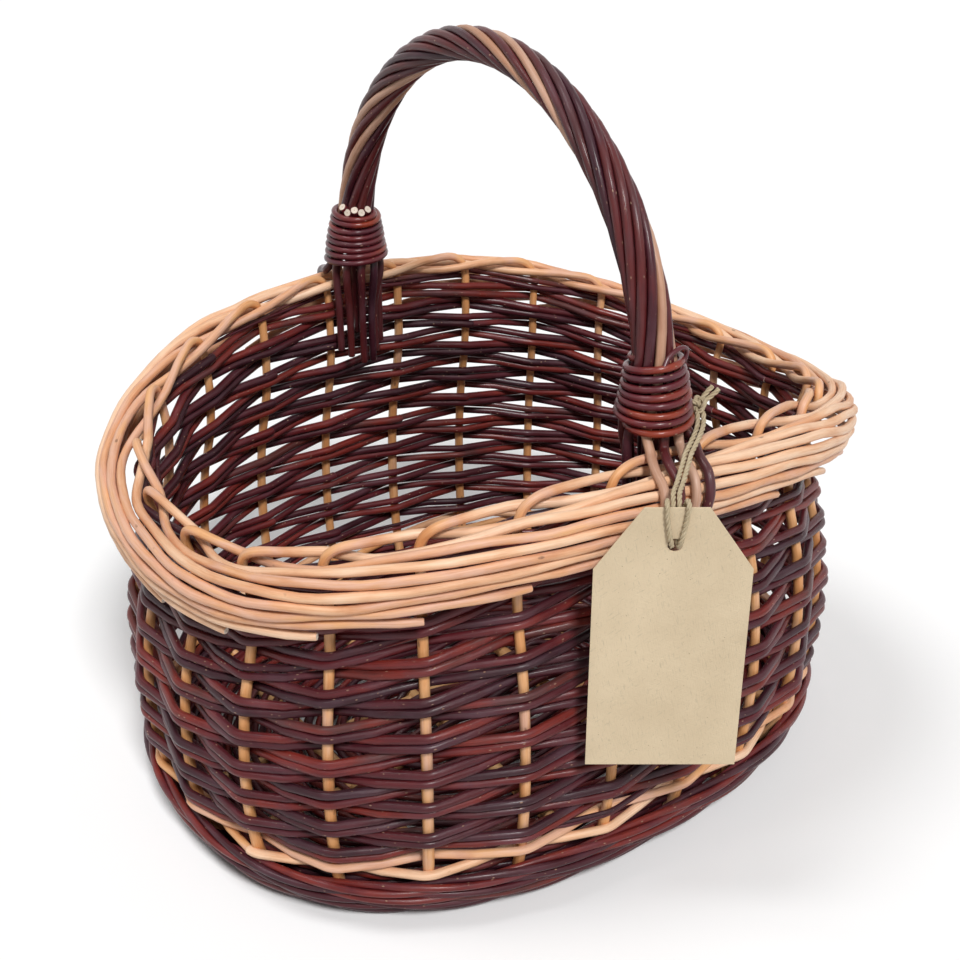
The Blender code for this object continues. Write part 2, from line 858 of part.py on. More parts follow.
def add_tag():
    half = tag_width / 2
    top = tag_hole_below_top
    bottom = top - tag_height
    corners = (
        (-half, bottom),
        (half, bottom),
        (half, top - tag_chamfer),
        (half - tag_chamfer, top),
        (-half + tag_chamfer, top),
        (-half, top - tag_chamfer),
    )
    sections = [
        [tag_place(across, out, rise) for across, rise in corners]
        for out in (-tag_thickness / 2, tag_thickness / 2)
    ]
    tag = lofted("hang_tag", sections, False, kraft_card)
    cutter = bmesh.new()
    hole = []
    for out in (-cutter_overrun / 2, cutter_overrun / 2):
        turns = [math.tau * corner / tag_hole_sides for corner in range(tag_hole_sides)]
        radius = tag_hole_diameter / 2
        hole.append([tag_place(radius * math.cos(turn), out, radius * math.sin(turn)) for turn in turns])
    loft(cutter, hole, False)
    hole_cutter = add_object("tag_hole", finish_mesh(cutter, "tag_hole"), kraft_card)
    combine(tag, hole_cutter, "DIFFERENCE")


def build():
    clear_scene()
    add_base()
    add_foot_wale()
    add_pairing_band()
    add_stakes()
    add_side_weave()
    add_handle()
    add_bindings()
    add_twine_knot()
    rod("twine_loop", twine_path(), twine_diameter, jute_twine, resolution=2, origin=knot_place)
    add_tag()


build()
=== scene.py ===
"""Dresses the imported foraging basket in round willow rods, bark, card and twine, for a studio picture.

Metres, +Z up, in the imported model's frame: X runs along the basket and the handle stands in the YZ plane.
Each rod is a mesh tube that carries its straightened coordinates, so that bark and grain run along it.
"""

import math

import bmesh
import bpy
import numpy as np
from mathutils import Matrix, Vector


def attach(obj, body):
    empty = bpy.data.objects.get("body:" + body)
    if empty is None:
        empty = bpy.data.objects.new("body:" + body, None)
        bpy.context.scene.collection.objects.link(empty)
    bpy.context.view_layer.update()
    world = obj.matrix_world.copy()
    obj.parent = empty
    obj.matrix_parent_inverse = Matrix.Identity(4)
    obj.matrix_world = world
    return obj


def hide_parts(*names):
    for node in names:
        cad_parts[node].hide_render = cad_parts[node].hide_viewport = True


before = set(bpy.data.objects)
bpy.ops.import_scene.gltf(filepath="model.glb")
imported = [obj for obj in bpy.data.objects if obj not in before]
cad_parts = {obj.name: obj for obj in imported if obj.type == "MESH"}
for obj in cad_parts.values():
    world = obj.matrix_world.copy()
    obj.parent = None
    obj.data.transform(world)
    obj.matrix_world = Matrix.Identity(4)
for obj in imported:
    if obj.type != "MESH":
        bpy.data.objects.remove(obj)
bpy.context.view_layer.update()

# The rim: its outer oval, its height and how far it dips at the ends
rim_half_length = 0.2000
rim_half_width = 0.1604
oval_power = 2.32
oval_samples = 2880
rim_height = 0.2100
rim_saddle = 0.0184

# Stakes and the border rods that they turn into. A value that ends in drift, here and below, is the
# wave and the size of a slow random change along a rod.
stake_count = 24
first_stake_share = 0.3 / stake_count
stake_diameter = 0.0058
border_rod_diameter = 0.0046
tail_end_diameter = 0.0036
stake_size_shares = (0.93, 1.04)
stake_size_drift = (0.09, 0.05)
# Up the wall the stakes take the darker, oranger end of the stops: painted shade, as the wood is the same as
# the border's
stake_painted_shade_tones = (0.85, 1.05)
border_tones = (0.05, 0.60)
tone_ease_run = 0.0450
border_ease_run = 0.0600
border_wander = 0.0011
border_wander_wave = 0.1300
border_lift = 0.0006
border_tail_droop = 0.0022
rod_gap = 0.0005
hook_inset = 0.0210
hook_bend_radius = 0.0062
hook_turn_degrees = (20.0, 45.0, 70.0)
wall_lean = 0.0243
# Shares of the rim's height, and of the lean that the stakes then have
wall_profile_shares = (
    (0.114, 0.741),
    (0.230, 0.520),
    (0.430, 0.450),
    (0.600, 0.620),
    (0.760, 0.960),
    (0.880, 1.000),
)
# The border's section: stakes passed since the hook, then border steps inwards and down
border_path_shares = (
    (0.5, 0.55, 0.00),
    (1.0, 1.06, 0.63),
    (1.5, 0.10, 1.26),
    (2.0, -1.06, 1.14),
    (3.0, -2.08, 0.73),
    (4.0, -3.02, 1.24),
    (5.0, -3.57, 2.16),
    (6.0, -3.65, 3.20),
    (7.0, -3.41, 4.22),
    (8.0, -3.06, 5.22),
    (9.0, -2.67, 6.20),
)
border_sampling = 0.25

# Side weave: two strands of two rods each, wound up the wall in opposite step
weave_rod_diameter = 0.0047
weave_bottom = 0.0405
weave_top_drop = 0.0092
course_count = 18
strand_count = 2
rods_per_strand = 2
least_course_share = 0.3
kink_half_length = 0.0042
kink_place_shares = (-1.0, -0.5, 0.0, 0.5, 1.0)
seat_gap = 0.0001
weave_length_range = (9, 16)
weave_joint_gap = 0.0006
weave_sway_drift = (0.11, 0.0007)
weave_spread_drift = (0.16, 0.0005)
weave_tip_share = 0.80
weave_tip_spread_share = 0.10
weave_press_share = 1.09
weave_press = 0.0003

# Pairing band and foot wale
pairing_rod_diameter = 0.0047
pairing_gap = 0.0003
pairing_tip_share = 0.86
wale_step = 0.0070
wale_inset = 0.0262
wale_place_shares = ((0.0, 0.5), (-0.80, 1.03), (-1.46, 1.83), (-1.94, 2.73), (-2.20, 3.66))
wale_rod_diameter = 0.0037
wale_size_drift = (0.20, 0.09)
wale_round_rods = 3
wale_twist_stakes = 3
wale_row_turn_share = 0.41
wale_samples = 240
inner_wale_heights = (0.0135, 0.0172, 0.0209, 0.0246, 0.0283)
upsett_places = ((0.0345, 0.0112), (0.0308, 0.0116))
foot_reach = 0.0048

# Base
base_height = 0.0107
base_inset = 0.0375
upsett_gap = 0.0009
upsett_rise = 0.0022
upsett_turn_inset = 0.0248
cross_stick_diameter = 0.0076
cross_stick_places = (-0.1020, -0.0340, 0.0340, 0.1020)
long_stick_diameter = 0.0046
long_stick_places = (-0.0230, 0.0230)
base_rod_diameter = 0.0037
base_rod_pitch = 0.0037
base_samples = 168
base_join_share = 0.382
base_middle_lift_shares = (-0.4, 1.0, 0.0, -1.0, 0.4)
stick_stations = 24
stick_size_drift = (0.08, 0.04)

# Handle: a bent core with rods twisted round it
handle_half_span = 0.1265
handle_base_height = 0.2450
handle_rise = 0.1335
handle_rod_count = 10
handle_twist_turns = 2.1
handle_rod_diameter = 0.0045
handle_rod_top_diameter = 0.0038
handle_ring_radius = 0.0076
handle_ring_top_radius = 0.0064
handle_ring_foot_radius = 0.0128
handle_core_diameter = 0.0096
handle_core_top_diameter = 0.0076
handle_core_tip_diameter = 0.0070
handle_core_foot_height = 0.1950
handle_foot_set_in = 0.0012
handle_stations = 96
handle_size_drift = (0.12, 0.05)
twist_ease_share = 0.45
outer_foot_places = (0.0046, 0.0128)
outer_foot_profile_shares = (3.0, 4.0, 5.0, 6.5, 8.0)
foot_gap = 0.0003
outer_foot_end_height = 0.1880
outer_foot_end_inset = 0.0030
outer_foot_lean = 0.0150
inner_foot_places = ((0.0130, 0.0010), (0.0082, 0.0042), (0.0030, 0.0094))
inner_foot_end_heights = (0.1860, 0.1820, 0.1790)
inner_foot_diameter = 0.0041
pale_handle_rods = (0, 8)

# Bindings
binding_rod_diameter = 0.0033
binding_foot_height = 0.2385
binding_top_height = 0.2680
binding_turns = 8
binding_points_per_turn = 28
binding_start_degrees = -110.0
binding_slack = 0.0002
binding_tuck = 0.0042
binding_tuck_share = 0.22
binding_tilt_drift = (2.3, 0.0005)
binding_bulge_drift = (1.7, 0.0004)
binding_size_drift = (0.05, 0.06)
binding_tone_shares = (0.34, 1.0, 0.60)
binding_tone_wave = 0.1700
cut_end_foot_height = 0.2620
cut_end_height = 0.2690
cut_end_foot_inset = 0.0012
cut_end_lean = 0.0036
cut_end_diameter = 0.0046
cut_end_tone = 0.3
# Degrees round the leg and rise, then for the loose loop degrees, height and distance off the rods
cut_end_places = ((176.0, 0.0034), (196.0, 0.0020), (216.0, 0.0034), (254.0, 0.0034), (237.0, 0.0012))
loose_loop_diameter = 0.0021
loose_loop_places = (
    (-24.0, 0.2650, 0.0026),
    (-8.0, 0.2690, 0.0014),
    (12.0, 0.2710, 0.0016),
    (32.0, 0.2716, 0.0032),
    (46.0, 0.2700, 0.0046),
    (50.0, 0.2672, 0.0040),
    (42.0, 0.2645, 0.0022),
)

# Twine and tag
twine_diameter = 0.0022
ply_count = 3
ply_pitch = 0.0085
ply_radius_share = 0.27
ply_orbit_share = 0.26
ply_size_drift = (0.012, 0.10)
twine_tone = 0.5
twine_line_step = 4
knot_place = (0.0200, -0.1335, 0.2425)
knot_reach = 0.00130
knot_samples = 61
knot_narrow_share = 0.9
knot_tall_share = 1.7
hitch_height = 0.2335
hitch_turns = 1.04
hitch_samples = 40
hitch_radians_per_rise = 30
knot_neck = ((0.0196, -0.1310, 0.2352), (0.0204, -0.1332, 0.2400))
knot_ends = (
    ((0.0247, -0.1349, 0.2447), (0.0296, -0.1364, 0.2486)),
    ((0.0238, -0.1336, 0.2464), (0.0276, -0.1342, 0.2498)),
)
tag_width = 0.0680
tag_height = 0.1340
tag_thickness = 0.0008
tag_shoulder_across = 0.0203
tag_shoulder_drop = 0.0299
tag_hole_diameter = 0.0062
tag_hole_below_top = 0.0180
tag_hole_place = (-0.0303, -0.1776, 0.2083)
tag_heading_degrees = 35.4
tag_hole_sides = 40
tag_edge_round = 0.00018
# The twine's route from the middle of the tag's hole: across the tag, out from its face and up
twine_spread = 0.0013
twine_lead = (
    (0.0164, -0.0620, 0.0318),
    (0.0161, -0.0572, 0.0290),
    (0.0147, -0.0520, 0.0275),
    (0.0127, -0.0470, 0.0260),
    (0.0105, -0.0420, 0.0246),
    (0.0084, -0.0370, 0.0234),
    (0.0070, -0.0320, 0.0222),
    (0.0055, -0.0270, 0.0212),
    (0.0041, -0.0220, 0.0202),
    (0.0025, -0.0165, 0.0195),
    (0.0006, -0.0100, 0.0190),
    (0.0001, -0.0052, 0.0172),
    (0.0000, -0.0024, 0.0130),
    (0.0000, -0.0019, 0.0080),
    (0.0000, -0.0019, 0.0020),
)
twine_hitch = (
    (0.0014, 0.0000, -0.0006),
    (0.0021, 0.0019, 0.0024),
    (0.0034, 0.0019, 0.0090),
    (0.0043, 0.0020, 0.0160),
    (0.0045, 0.0016, 0.0196),
    (0.0044, 0.0000, 0.0208),
    (0.0042, -0.0024, 0.0196),
    (0.0036, -0.0055, 0.0156),
    (0.0020, -0.0070, 0.0140),
)
twine_bight = (0.0000, -0.0075, 0.0136)

# Camera, set to the photograph's direction and distance
camera_azimuth_degrees = 35.41
camera_elevation_degrees = 28.26
camera_distance = 0.8026
camera_target = (-0.0042, 0.0003, 0.1531)
camera_lens = 56.82
camera_sensor = 36.0

# Studio: the world and the floor, then each lamp's name, its direction (to the camera's right,
# towards the camera and up), its power and its softness in degrees
world_strength = 0.19
floor_half_size = 12.0
floor_shade = 0.75
floor_seen_shade = 1.00
floor_roughness = 0.9
floor_specular = 0.1
lamps = (
    ("key", (0.26, 0.80, 1.0), 2.45, 12),
    ("top", (-0.42, 0.08, 1.0), 0.85, 20),
)

# Finishes: the range of most values of a noise, colours as linear red, green and blue, and depths
noise_range = (0.3, 0.7)
streak_tint = (0.50, 0.42, 0.42)
# Pale lilac patches on the bark: partly the bark's real bloom, partly a painted sheen
bloom_and_sheen_tint = (0.150, 0.082, 0.110)
pore_tint = (0.42, 0.25, 0.17)
grain_tint = (0.66, 0.43, 0.25)
wood_knot_tint = (0.17, 0.075, 0.035)
scratch_tint = (0.33, 0.17, 0.09)
cut_fibre_tint = (0.55, 0.42, 0.30)
card_fibre_tint = (0.60, 0.50, 0.34)
card_fibres = ((12.0, 0.72), (71.0, 1.22), (128.0, 0.78))
fleck_tint = (0.25, 0.17, 0.09)
jute_cloud_tint = (0.72, 0.66, 0.52)
bark_depth = 0.00034
peeled_depth = 0.00020
cut_wood_depth = 0.0002
cut_wood_radius = 0.0026
card_depth = 0.00012
jute_depth = 0.0003
brown_stops = (
    (0.00, (0.040, 0.009, 0.015)),
    (0.30, (0.076, 0.012, 0.018)),
    (0.58, (0.112, 0.014, 0.018)),
    (0.80, (0.205, 0.024, 0.017)),
    (1.00, (0.105, 0.030, 0.027)),
)
red_stops = (
    (0.00, (0.088, 0.013, 0.022)),
    (0.45, (0.150, 0.016, 0.020)),
    (0.75, (0.290, 0.038, 0.015)),
    (1.00, (0.255, 0.048, 0.025)),
)
handle_stops = (
    (0.00, (0.034, 0.008, 0.016)),
    (0.45, (0.064, 0.011, 0.018)),
    (0.75, (0.120, 0.018, 0.018)),
    (1.00, (0.080, 0.022, 0.024)),
)
peeled_stops = (
    (0.00, (0.880, 0.600, 0.410)),
    (0.22, (0.830, 0.500, 0.300)),
    (0.42, (0.720, 0.370, 0.195)),
    (0.60, (0.740, 0.430, 0.300)),
    (0.85, (0.800, 0.430, 0.200)),
    (1.00, (0.720, 0.340, 0.130)),
)
stake_stops = (
    (0.00, (0.760, 0.440, 0.200)),
    (0.50, (0.700, 0.360, 0.145)),
    (1.00, (0.740, 0.450, 0.240)),
)
bare_stops = (
    (0.00, (0.560, 0.340, 0.240)),
    (0.50, (0.420, 0.200, 0.110)),
    (1.00, (0.480, 0.260, 0.170)),
)
cut_stops = (
    (0.00, (0.480, 0.360, 0.260)),
    (0.12, (0.760, 0.640, 0.530)),
    (0.30, (0.860, 0.770, 0.680)),
    (1.00, (0.740, 0.610, 0.500)),
)
card_stops = (
    (0.00, (0.630, 0.500, 0.330)),
    (1.00, (0.740, 0.600, 0.410)),
)
jute_stops = (
    (0.25, (0.300, 0.225, 0.130)),
    (0.50, (0.540, 0.440, 0.290)),
    (0.80, (0.700, 0.610, 0.440)),
)

# Mesh detail
rod_sides = 12
weave_sides = 10
fine_sides = 8
straight_turn_degrees = 5.0
longest_step = 0.0120
path_step = 0.0015
drift_stretch_shares = (1.0, 0.61, 0.37)
end_round_share = 0.25
end_shoulder_share = 0.84
least_level_share = 0.25
smooth_degrees = 50.0
random_seed = 20

weave_top = rim_height - weave_top_drop
stake_radius = stake_diameter / 2
border_radius = border_rod_diameter / 2
border_step = border_rod_diameter + rod_gap
twine_radius = twine_diameter / 2
up = np.array((0.0, 0.0, 1.0))
level_only = np.array((1.0, 1.0, 0.0))
half_turned = np.array((-1.0, -1.0, 1.0))
draw = np.random.default_rng(random_seed)


def unit(vectors):
    return vectors / np.linalg.norm(vectors, axis=-1, keepdims=True)


def signed_power(values, power):
    return np.sign(values) * np.abs(values) ** power


def oval_points(angles):
    directions = np.stack([np.cos(angles), np.sin(angles)], axis=-1)
    return np.array((rim_half_length, rim_half_width)) * signed_power(directions, 2 / oval_power)


def oval_normals(angles):
    sizes = np.array((rim_half_length, rim_half_width))
    return unit(signed_power(oval_points(angles) / sizes, oval_power - 1) / sizes)


oval_angles = np.linspace(0, math.tau, oval_samples + 1)
oval_steps = np.linalg.norm(np.diff(oval_points(oval_angles), axis=0), axis=1)
oval_runs = np.concatenate([[0.0], np.cumsum(oval_steps)])
rim_length = oval_runs[-1]
back_share = float(np.interp(math.pi / 2, oval_angles, oval_runs)) / rim_length


def angle_at(shares):
    return np.interp(np.mod(shares, 1.0) * rim_length, oval_runs, oval_angles)


def rim_top(shares):
    return rim_height - rim_saddle * np.cos(2 * angle_at(shares))


def wall_height(shares, heights):
    """Levels of the wall follow the rim's dip and rise."""
    return heights * rim_top(shares) / rim_height


def place(shares, insets, heights):
    """Points this share of the way round, moved in from the rim's outer oval along its normal."""
    shares, insets, heights = np.broadcast_arrays(
        np.asarray(shares, float), np.asarray(insets, float), np.asarray(heights, float)
    )
    angles = angle_at(shares)
    flat = oval_points(angles) - oval_normals(angles) * insets[..., None]
    return np.concatenate([flat, heights[..., None]], axis=-1)


def stake_share(number):
    return first_stake_share + number / stake_count


def wall_inset(heights):
    levels = [share * rim_height for share, _ in wall_profile_shares]
    insets = [share * wall_lean for _, share in wall_profile_shares]
    levels.append(rim_height - border_radius - hook_bend_radius)
    insets.append(hook_inset)
    return np.interp(heights, levels, insets)


def smooth(points, spacing):
    """A smooth curve through the points, sampled at about this spacing, and where on it the points lie."""
    points = np.asarray(points, float)
    chords = np.linalg.norm(np.diff(points, axis=0), axis=1)
    runs = np.concatenate([[0.0], np.cumsum(chords)])
    slopes = np.gradient(points, runs, axis=0)
    where = np.linspace(0, runs[-1], max(int(runs[-1] / spacing), 2) + 1)
    span = np.clip(np.searchsorted(runs, where, side="right") - 1, 0, len(chords) - 1)
    length = chords[span][:, None]
    share = ((where - runs[span]) / chords[span])[:, None]
    rest = 1 - share
    curve = (1 + 2 * share) * rest**2 * points[span] + share**2 * (3 - 2 * share) * points[span + 1]
    curve += share * rest**2 * length * slopes[span] - share**2 * rest * length * slopes[span + 1]
    return curve, where, runs


def smooth_rod(points, radii, spacing=path_step):
    curve, where, runs = smooth(points, spacing)
    return curve, np.interp(where, runs, np.broadcast_to(radii, len(runs)))


def thinned(points, radii):
    """Leaves out points where the rod runs nearly straight."""
    ahead = unit(np.diff(points, axis=0))
    least = math.cos(math.radians(straight_turn_degrees))
    kept = [0]
    for index in range(1, len(points) - 1):
        run = np.linalg.norm(points[index] - points[kept[-1]])
        if ahead[index] @ ahead[kept[-1]] < least or run > longest_step:
            kept.append(index)
    kept.append(len(points) - 1)
    return points[kept], radii[kept]


def drift(runs, wave, size):
    """A slow random wander along a rod."""
    total = np.zeros(len(runs))
    for stretch in drift_stretch_shares:
        total += np.sin(math.tau * (runs / (wave * stretch) + draw.random()))
    return total * size / len(drift_stretch_shares)


def set_back(points, end):
    """Moves the path's first (0) or last (-1) point back along it, clear of the next rod's end."""
    beside = points[1] if end == 0 else points[-2]
    points[end] = points[end] + unit(beside - points[end]) * weave_joint_gap
    return points


def run_along(points):
    return np.concatenate([[0.0], np.cumsum(np.linalg.norm(np.diff(points, axis=0), axis=1))])


def carried_frames(points):
    """Two directions across the path at each point, carried along it without twist."""
    tangents = unit(np.gradient(points, axis=0))
    first = np.cross(tangents[0], up)
    if np.linalg.norm(first) < least_level_share:
        first = np.cross(tangents[0], np.array((1.0, 0.0, 0.0)))
    sides = []
    side = unit(first)
    for tangent in tangents:
        side = unit(side - tangent * (side @ tangent))
        sides.append(side)
    sides = np.array(sides)
    return sides, np.cross(tangents, sides)


class Rod:
    """A round tube with closed ends, with its straightened coordinates and its tone on the colour stops."""

    def __init__(self, points, radii, tone=None, sides=rod_sides):
        points = np.asarray(points, float)
        radii = np.broadcast_to(np.asarray(radii, float), len(points))
        points, radii = self.round_ends(points, radii)
        self.tone = draw.random() if tone is None else tone
        start = draw.random() * rim_length * stake_count
        turn = draw.random() * math.tau
        angles = turn + math.tau * np.arange(sides) / sides
        across, over = carried_frames(points)
        ring = across[:, None] * np.cos(angles)[None, :, None] + over[:, None] * np.sin(angles)[None, :, None]
        corners = points[:, None] + ring * radii[:, None, None]
        runs = run_along(points) + start
        flat = np.stack([np.cos(angles), np.sin(angles)], axis=-1)[None] * radii[:, None, None]
        along = np.broadcast_to(runs[:, None, None], (*flat.shape[:2], 1))
        places = np.concatenate([flat, along], axis=-1)
        ends = np.array([[0, 0, runs[0]], [0, 0, runs[-1]]])
        self.corners = np.concatenate([corners.reshape(-1, 3), points[[0, -1]]])
        self.places = np.concatenate([places.reshape(-1, 3), ends])
        self.build_faces(len(points), sides)

    def round_ends(self, points, radii):
        """A small shoulder at each cut end."""
        first = points[0] + unit(points[1] - points[0]) * radii[0] * end_round_share
        last = points[-1] + unit(points[-2] - points[-1]) * radii[-1] * end_round_share
        points = np.concatenate([points[:1], [first], points[1:-1], [last], points[-1:]])
        shoulders = radii[[0, -1]] * end_shoulder_share
        return points, np.concatenate([shoulders[:1], radii, shoulders[1:]])

    def build_faces(self, count, sides):
        ring = np.arange(sides)
        after = np.roll(ring, -1)
        rows = np.arange(count - 1)[:, None] * sides
        self.skin = np.stack(
            [rows + ring, rows + after, rows + sides + after, rows + sides + ring], axis=-1
        ).reshape(-1, 4)
        last = (count - 1) * sides
        middle = count * sides
        start = np.stack([after, ring, np.full(sides, middle)], axis=-1)
        end = np.stack([last + ring, last + after, np.full(sides, middle + 1)], axis=-1)
        self.cuts = np.concatenate([start, end])


def add_piece(name, rods, skin, replaced, cut=None, body="basket"):
    """One mesh of several rods, with a material for their skin and one for their cut ends."""
    starts = np.cumsum([0] + [len(rod.corners) for rod in rods[:-1]])
    skins = np.concatenate([rod.skin + start for rod, start in zip(rods, starts)])
    cuts = np.concatenate([rod.cuts + start for rod, start in zip(rods, starts)])
    mesh = bpy.data.meshes.new(name)
    mesh.from_pydata(np.concatenate([rod.corners for rod in rods]), [], skins.tolist() + cuts.tolist())
    mesh.materials.append(skin)
    mesh.materials.append(cut or end_wood)
    slots = np.zeros(len(skins) + len(cuts), np.int32)
    slots[len(skins):] = 1
    mesh.polygons.foreach_set("material_index", slots)
    places = mesh.attributes.new("rod_place", "FLOAT_VECTOR", "POINT")
    places.data.foreach_set("vector", np.concatenate([rod.places for rod in rods]).astype(np.float32).ravel())
    tones = np.concatenate([np.broadcast_to(rod.tone, len(rod.corners)) for rod in rods])
    mesh.attributes.new("rod_tone", "FLOAT", "POINT").data.foreach_set("value", tones.astype(np.float32))
    mesh.shade_smooth()
    mesh.set_sharp_from_angle(angle=math.radians(smooth_degrees))
    return add_object(name, mesh, body, replaced)


def add_object(name, data, body, replaced):
    made = bpy.data.objects.new(name, data)
    bpy.context.scene.collection.objects.link(made)
    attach(made, body)
    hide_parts(*replaced)
    return made


class Graph:
    """A material's nodes, each added and linked by one call."""

    def __init__(self, name):
        self.material = bpy.data.materials.new(name)
        self.material.use_nodes = True
        self.tree = self.material.node_tree
        self.shader = self.tree.nodes["Principled BSDF"]

    def feed(self, socket, value):
        if isinstance(value, bpy.types.NodeSocket):
            self.tree.links.new(value, socket)
        else:
            socket.default_value = value

    def add(self, kind, inputs, output=0, **settings):
        made = self.tree.nodes.new("ShaderNode" + kind)
        for name, value in settings.items():
            setattr(made, name, value)
        for name, value in inputs.items():
            self.feed(made.inputs[name], value)
        return made.outputs[output]

    def attribute(self, name, output):
        return self.add("Attribute", {}, output, attribute_name=name)

    def stretched(self, vector, along):
        return self.add("VectorMath", {0: vector, 1: (1, 1, along)}, operation="MULTIPLY")

    def noise(self, vector, scale, detail=3.0, roughness=0.55, along=None):
        """Cloudy noise, drawn out along the rod where along is given and under 1."""
        if along is not None:
            vector = self.stretched(vector, along)
        return self.add(
            "TexNoise", {"Vector": vector, "Scale": scale, "Detail": detail, "Roughness": roughness}
        )

    def specks(self, spot, scale, size, patch_scale, patch_range, along=None):
        """1 in small spots and 0 elsewhere. The spots are only in patches of the surface."""
        vector = spot if along is None else self.stretched(spot, along)
        distance = self.add("TexVoronoi", {"Vector": vector, "Scale": scale})
        spots = self.spread(distance, size, size / 2)
        return self.maths("MULTIPLY", spots, self.spread(self.noise(spot, patch_scale), *patch_range))

    def spread(self, value, low, high, bottom=0.0, top=1.0):
        return self.add("MapRange", {0: value, 1: low, 2: high, 3: bottom, 4: top})

    def maths(self, operation, first, second):
        return self.add("Math", {0: first, 1: second}, operation=operation)

    def mix(self, share, first, second, way="MIX"):
        return self.add("MixRGB", {"Fac": share, "Color1": first, "Color2": second}, blend_type=way)

    def tinted(self, colour, value, value_range, most, tint, way="MULTIPLY"):
        """The colour with a tint: none of it at the foot of the value's range, and most at its top."""
        return self.mix(self.spread(value, *value_range, 0.0, most), colour, opaque(tint), way)

    def dotted(self, colour, spots, share, tint):
        return self.mix(self.maths("MULTIPLY", spots, share), colour, opaque(tint))

    def toned(self, spot, stops, scale, along, shift):
        """The rod's own tone on these stops, moved up and down in long patches."""
        tone = self.attribute("rod_tone", "Fac")
        patches = self.noise(spot, scale, detail=4.0, along=along)
        return self.ramp(self.maths("ADD", tone, self.spread(patches, *noise_range, -shift, shift)), stops)

    def ramp(self, value, stops):
        made = self.tree.nodes.new("ShaderNodeValToRGB")
        elements = made.color_ramp.elements
        while len(elements) < len(stops):
            elements.new(1.0)
        for element, (position, colour) in zip(elements, stops):
            element.position = position
            element.color = (*colour, 1)
        self.feed(made.inputs[0], value)
        return made.outputs[0]

    def finish(self, colour, roughness, height, depth, **even):
        """Feeds the shader. The depth is the bump's, and the even values are the same all over."""
        bump = self.add("Bump", {"Height": height, "Distance": depth})
        self.feed(self.shader.inputs["Base Color"], colour)
        self.feed(self.shader.inputs["Roughness"], roughness)
        self.feed(self.shader.inputs["Normal"], bump)
        for name, value in even.items():
            self.shader.inputs[name.replace("_", " ")].default_value = value
        return self.material


def opaque(colour):
    return (*colour, 1.0)


def bark(name, stops, bloom_and_sheen_share, roughness, coat):
    """Unpeeled willow: a thin waxy bark with long streaks, pale lilac patches that are partly real bloom and
    partly a painted sheen, and small pores.
    """
    graph = Graph(name)
    spot = graph.attribute("rod_place", "Vector")
    colour = graph.toned(spot, stops, scale=90.0, along=0.35, shift=0.22)
    streaks = graph.noise(spot, scale=1500.0, detail=5.0, along=0.045)
    colour = graph.tinted(colour, streaks, (0.35, 0.75), 0.75, streak_tint)
    # Pale lilac patches in places: partly real bloom, partly a painted sheen that stands in for highlights
    bloom_and_sheen = graph.noise(spot, scale=60.0, along=0.5)
    colour = graph.tinted(colour, bloom_and_sheen, (0.48, 0.75), bloom_and_sheen_share, bloom_and_sheen_tint, "MIX")
    pores = graph.specks(spot, scale=420.0, size=0.17, patch_scale=160.0, patch_range=(0.47, 0.57), along=0.5)
    colour = graph.dotted(colour, pores, 0.80, pore_tint)
    height = graph.maths("ADD", streaks, graph.maths("MULTIPLY", pores, 0.6))
    rough = graph.spread(streaks, *noise_range, roughness - 0.06, roughness + 0.12)
    return graph.finish(
        colour, rough, height, bark_depth, Coat_Weight=coat, Coat_Roughness=0.17, Specular_IOR_Level=0.20
    )


def peeled(name, stops, stain_tint):
    """Peeled willow: pale wood with fine long grain, tan bands, stains, scratches and a few dark knots."""
    graph = Graph(name)
    spot = graph.attribute("rod_place", "Vector")
    colour = graph.toned(spot, stops, scale=110.0, along=0.22, shift=0.30)
    grain = graph.noise(spot, scale=1300.0, detail=6.0, roughness=0.62, along=0.035)
    colour = graph.tinted(colour, grain, (0.45, 0.78), 0.55, grain_tint)
    stains = graph.noise(spot, scale=70.0, detail=5.0, along=0.4)
    colour = graph.tinted(colour, stains, (0.54, 0.76), 0.75, stain_tint)
    knots = graph.specks(spot, scale=150.0, size=0.13, patch_scale=70.0, patch_range=(0.50, 0.58), along=0.45)
    colour = graph.dotted(colour, knots, 0.75, wood_knot_tint)
    scratches = graph.noise(spot, scale=2600.0, detail=2.0, along=0.12)
    colour = graph.tinted(colour, scratches, (0.70, 0.80), 0.35, scratch_tint, "MIX")
    height = graph.maths("SUBTRACT", grain, graph.maths("MULTIPLY", knots, 0.7))
    rough = graph.spread(grain, 0.3, 0.75, 0.42, 0.62)
    return graph.finish(colour, rough, height, peeled_depth, Coat_Weight=0.10, Coat_Roughness=0.35)


def cut_wood():
    """The cut end of a rod: pale wood with a darker pith, fibres, and a darker rim."""
    graph = Graph("cut_willow")
    spot = graph.attribute("rod_place", "Vector")
    middle = graph.add("VectorMath", {0: graph.stretched(spot, 0.0)}, "Value", operation="LENGTH")
    colour = graph.ramp(graph.spread(middle, 0.0, cut_wood_radius), cut_stops)
    fibres = graph.noise(spot, scale=2600.0, detail=4.0)
    colour = graph.tinted(colour, fibres, (0.35, 0.7), 0.5, cut_fibre_tint)
    return graph.finish(colour, graph.spread(fibres, *noise_range, 0.6, 0.85), fibres, cut_wood_depth)


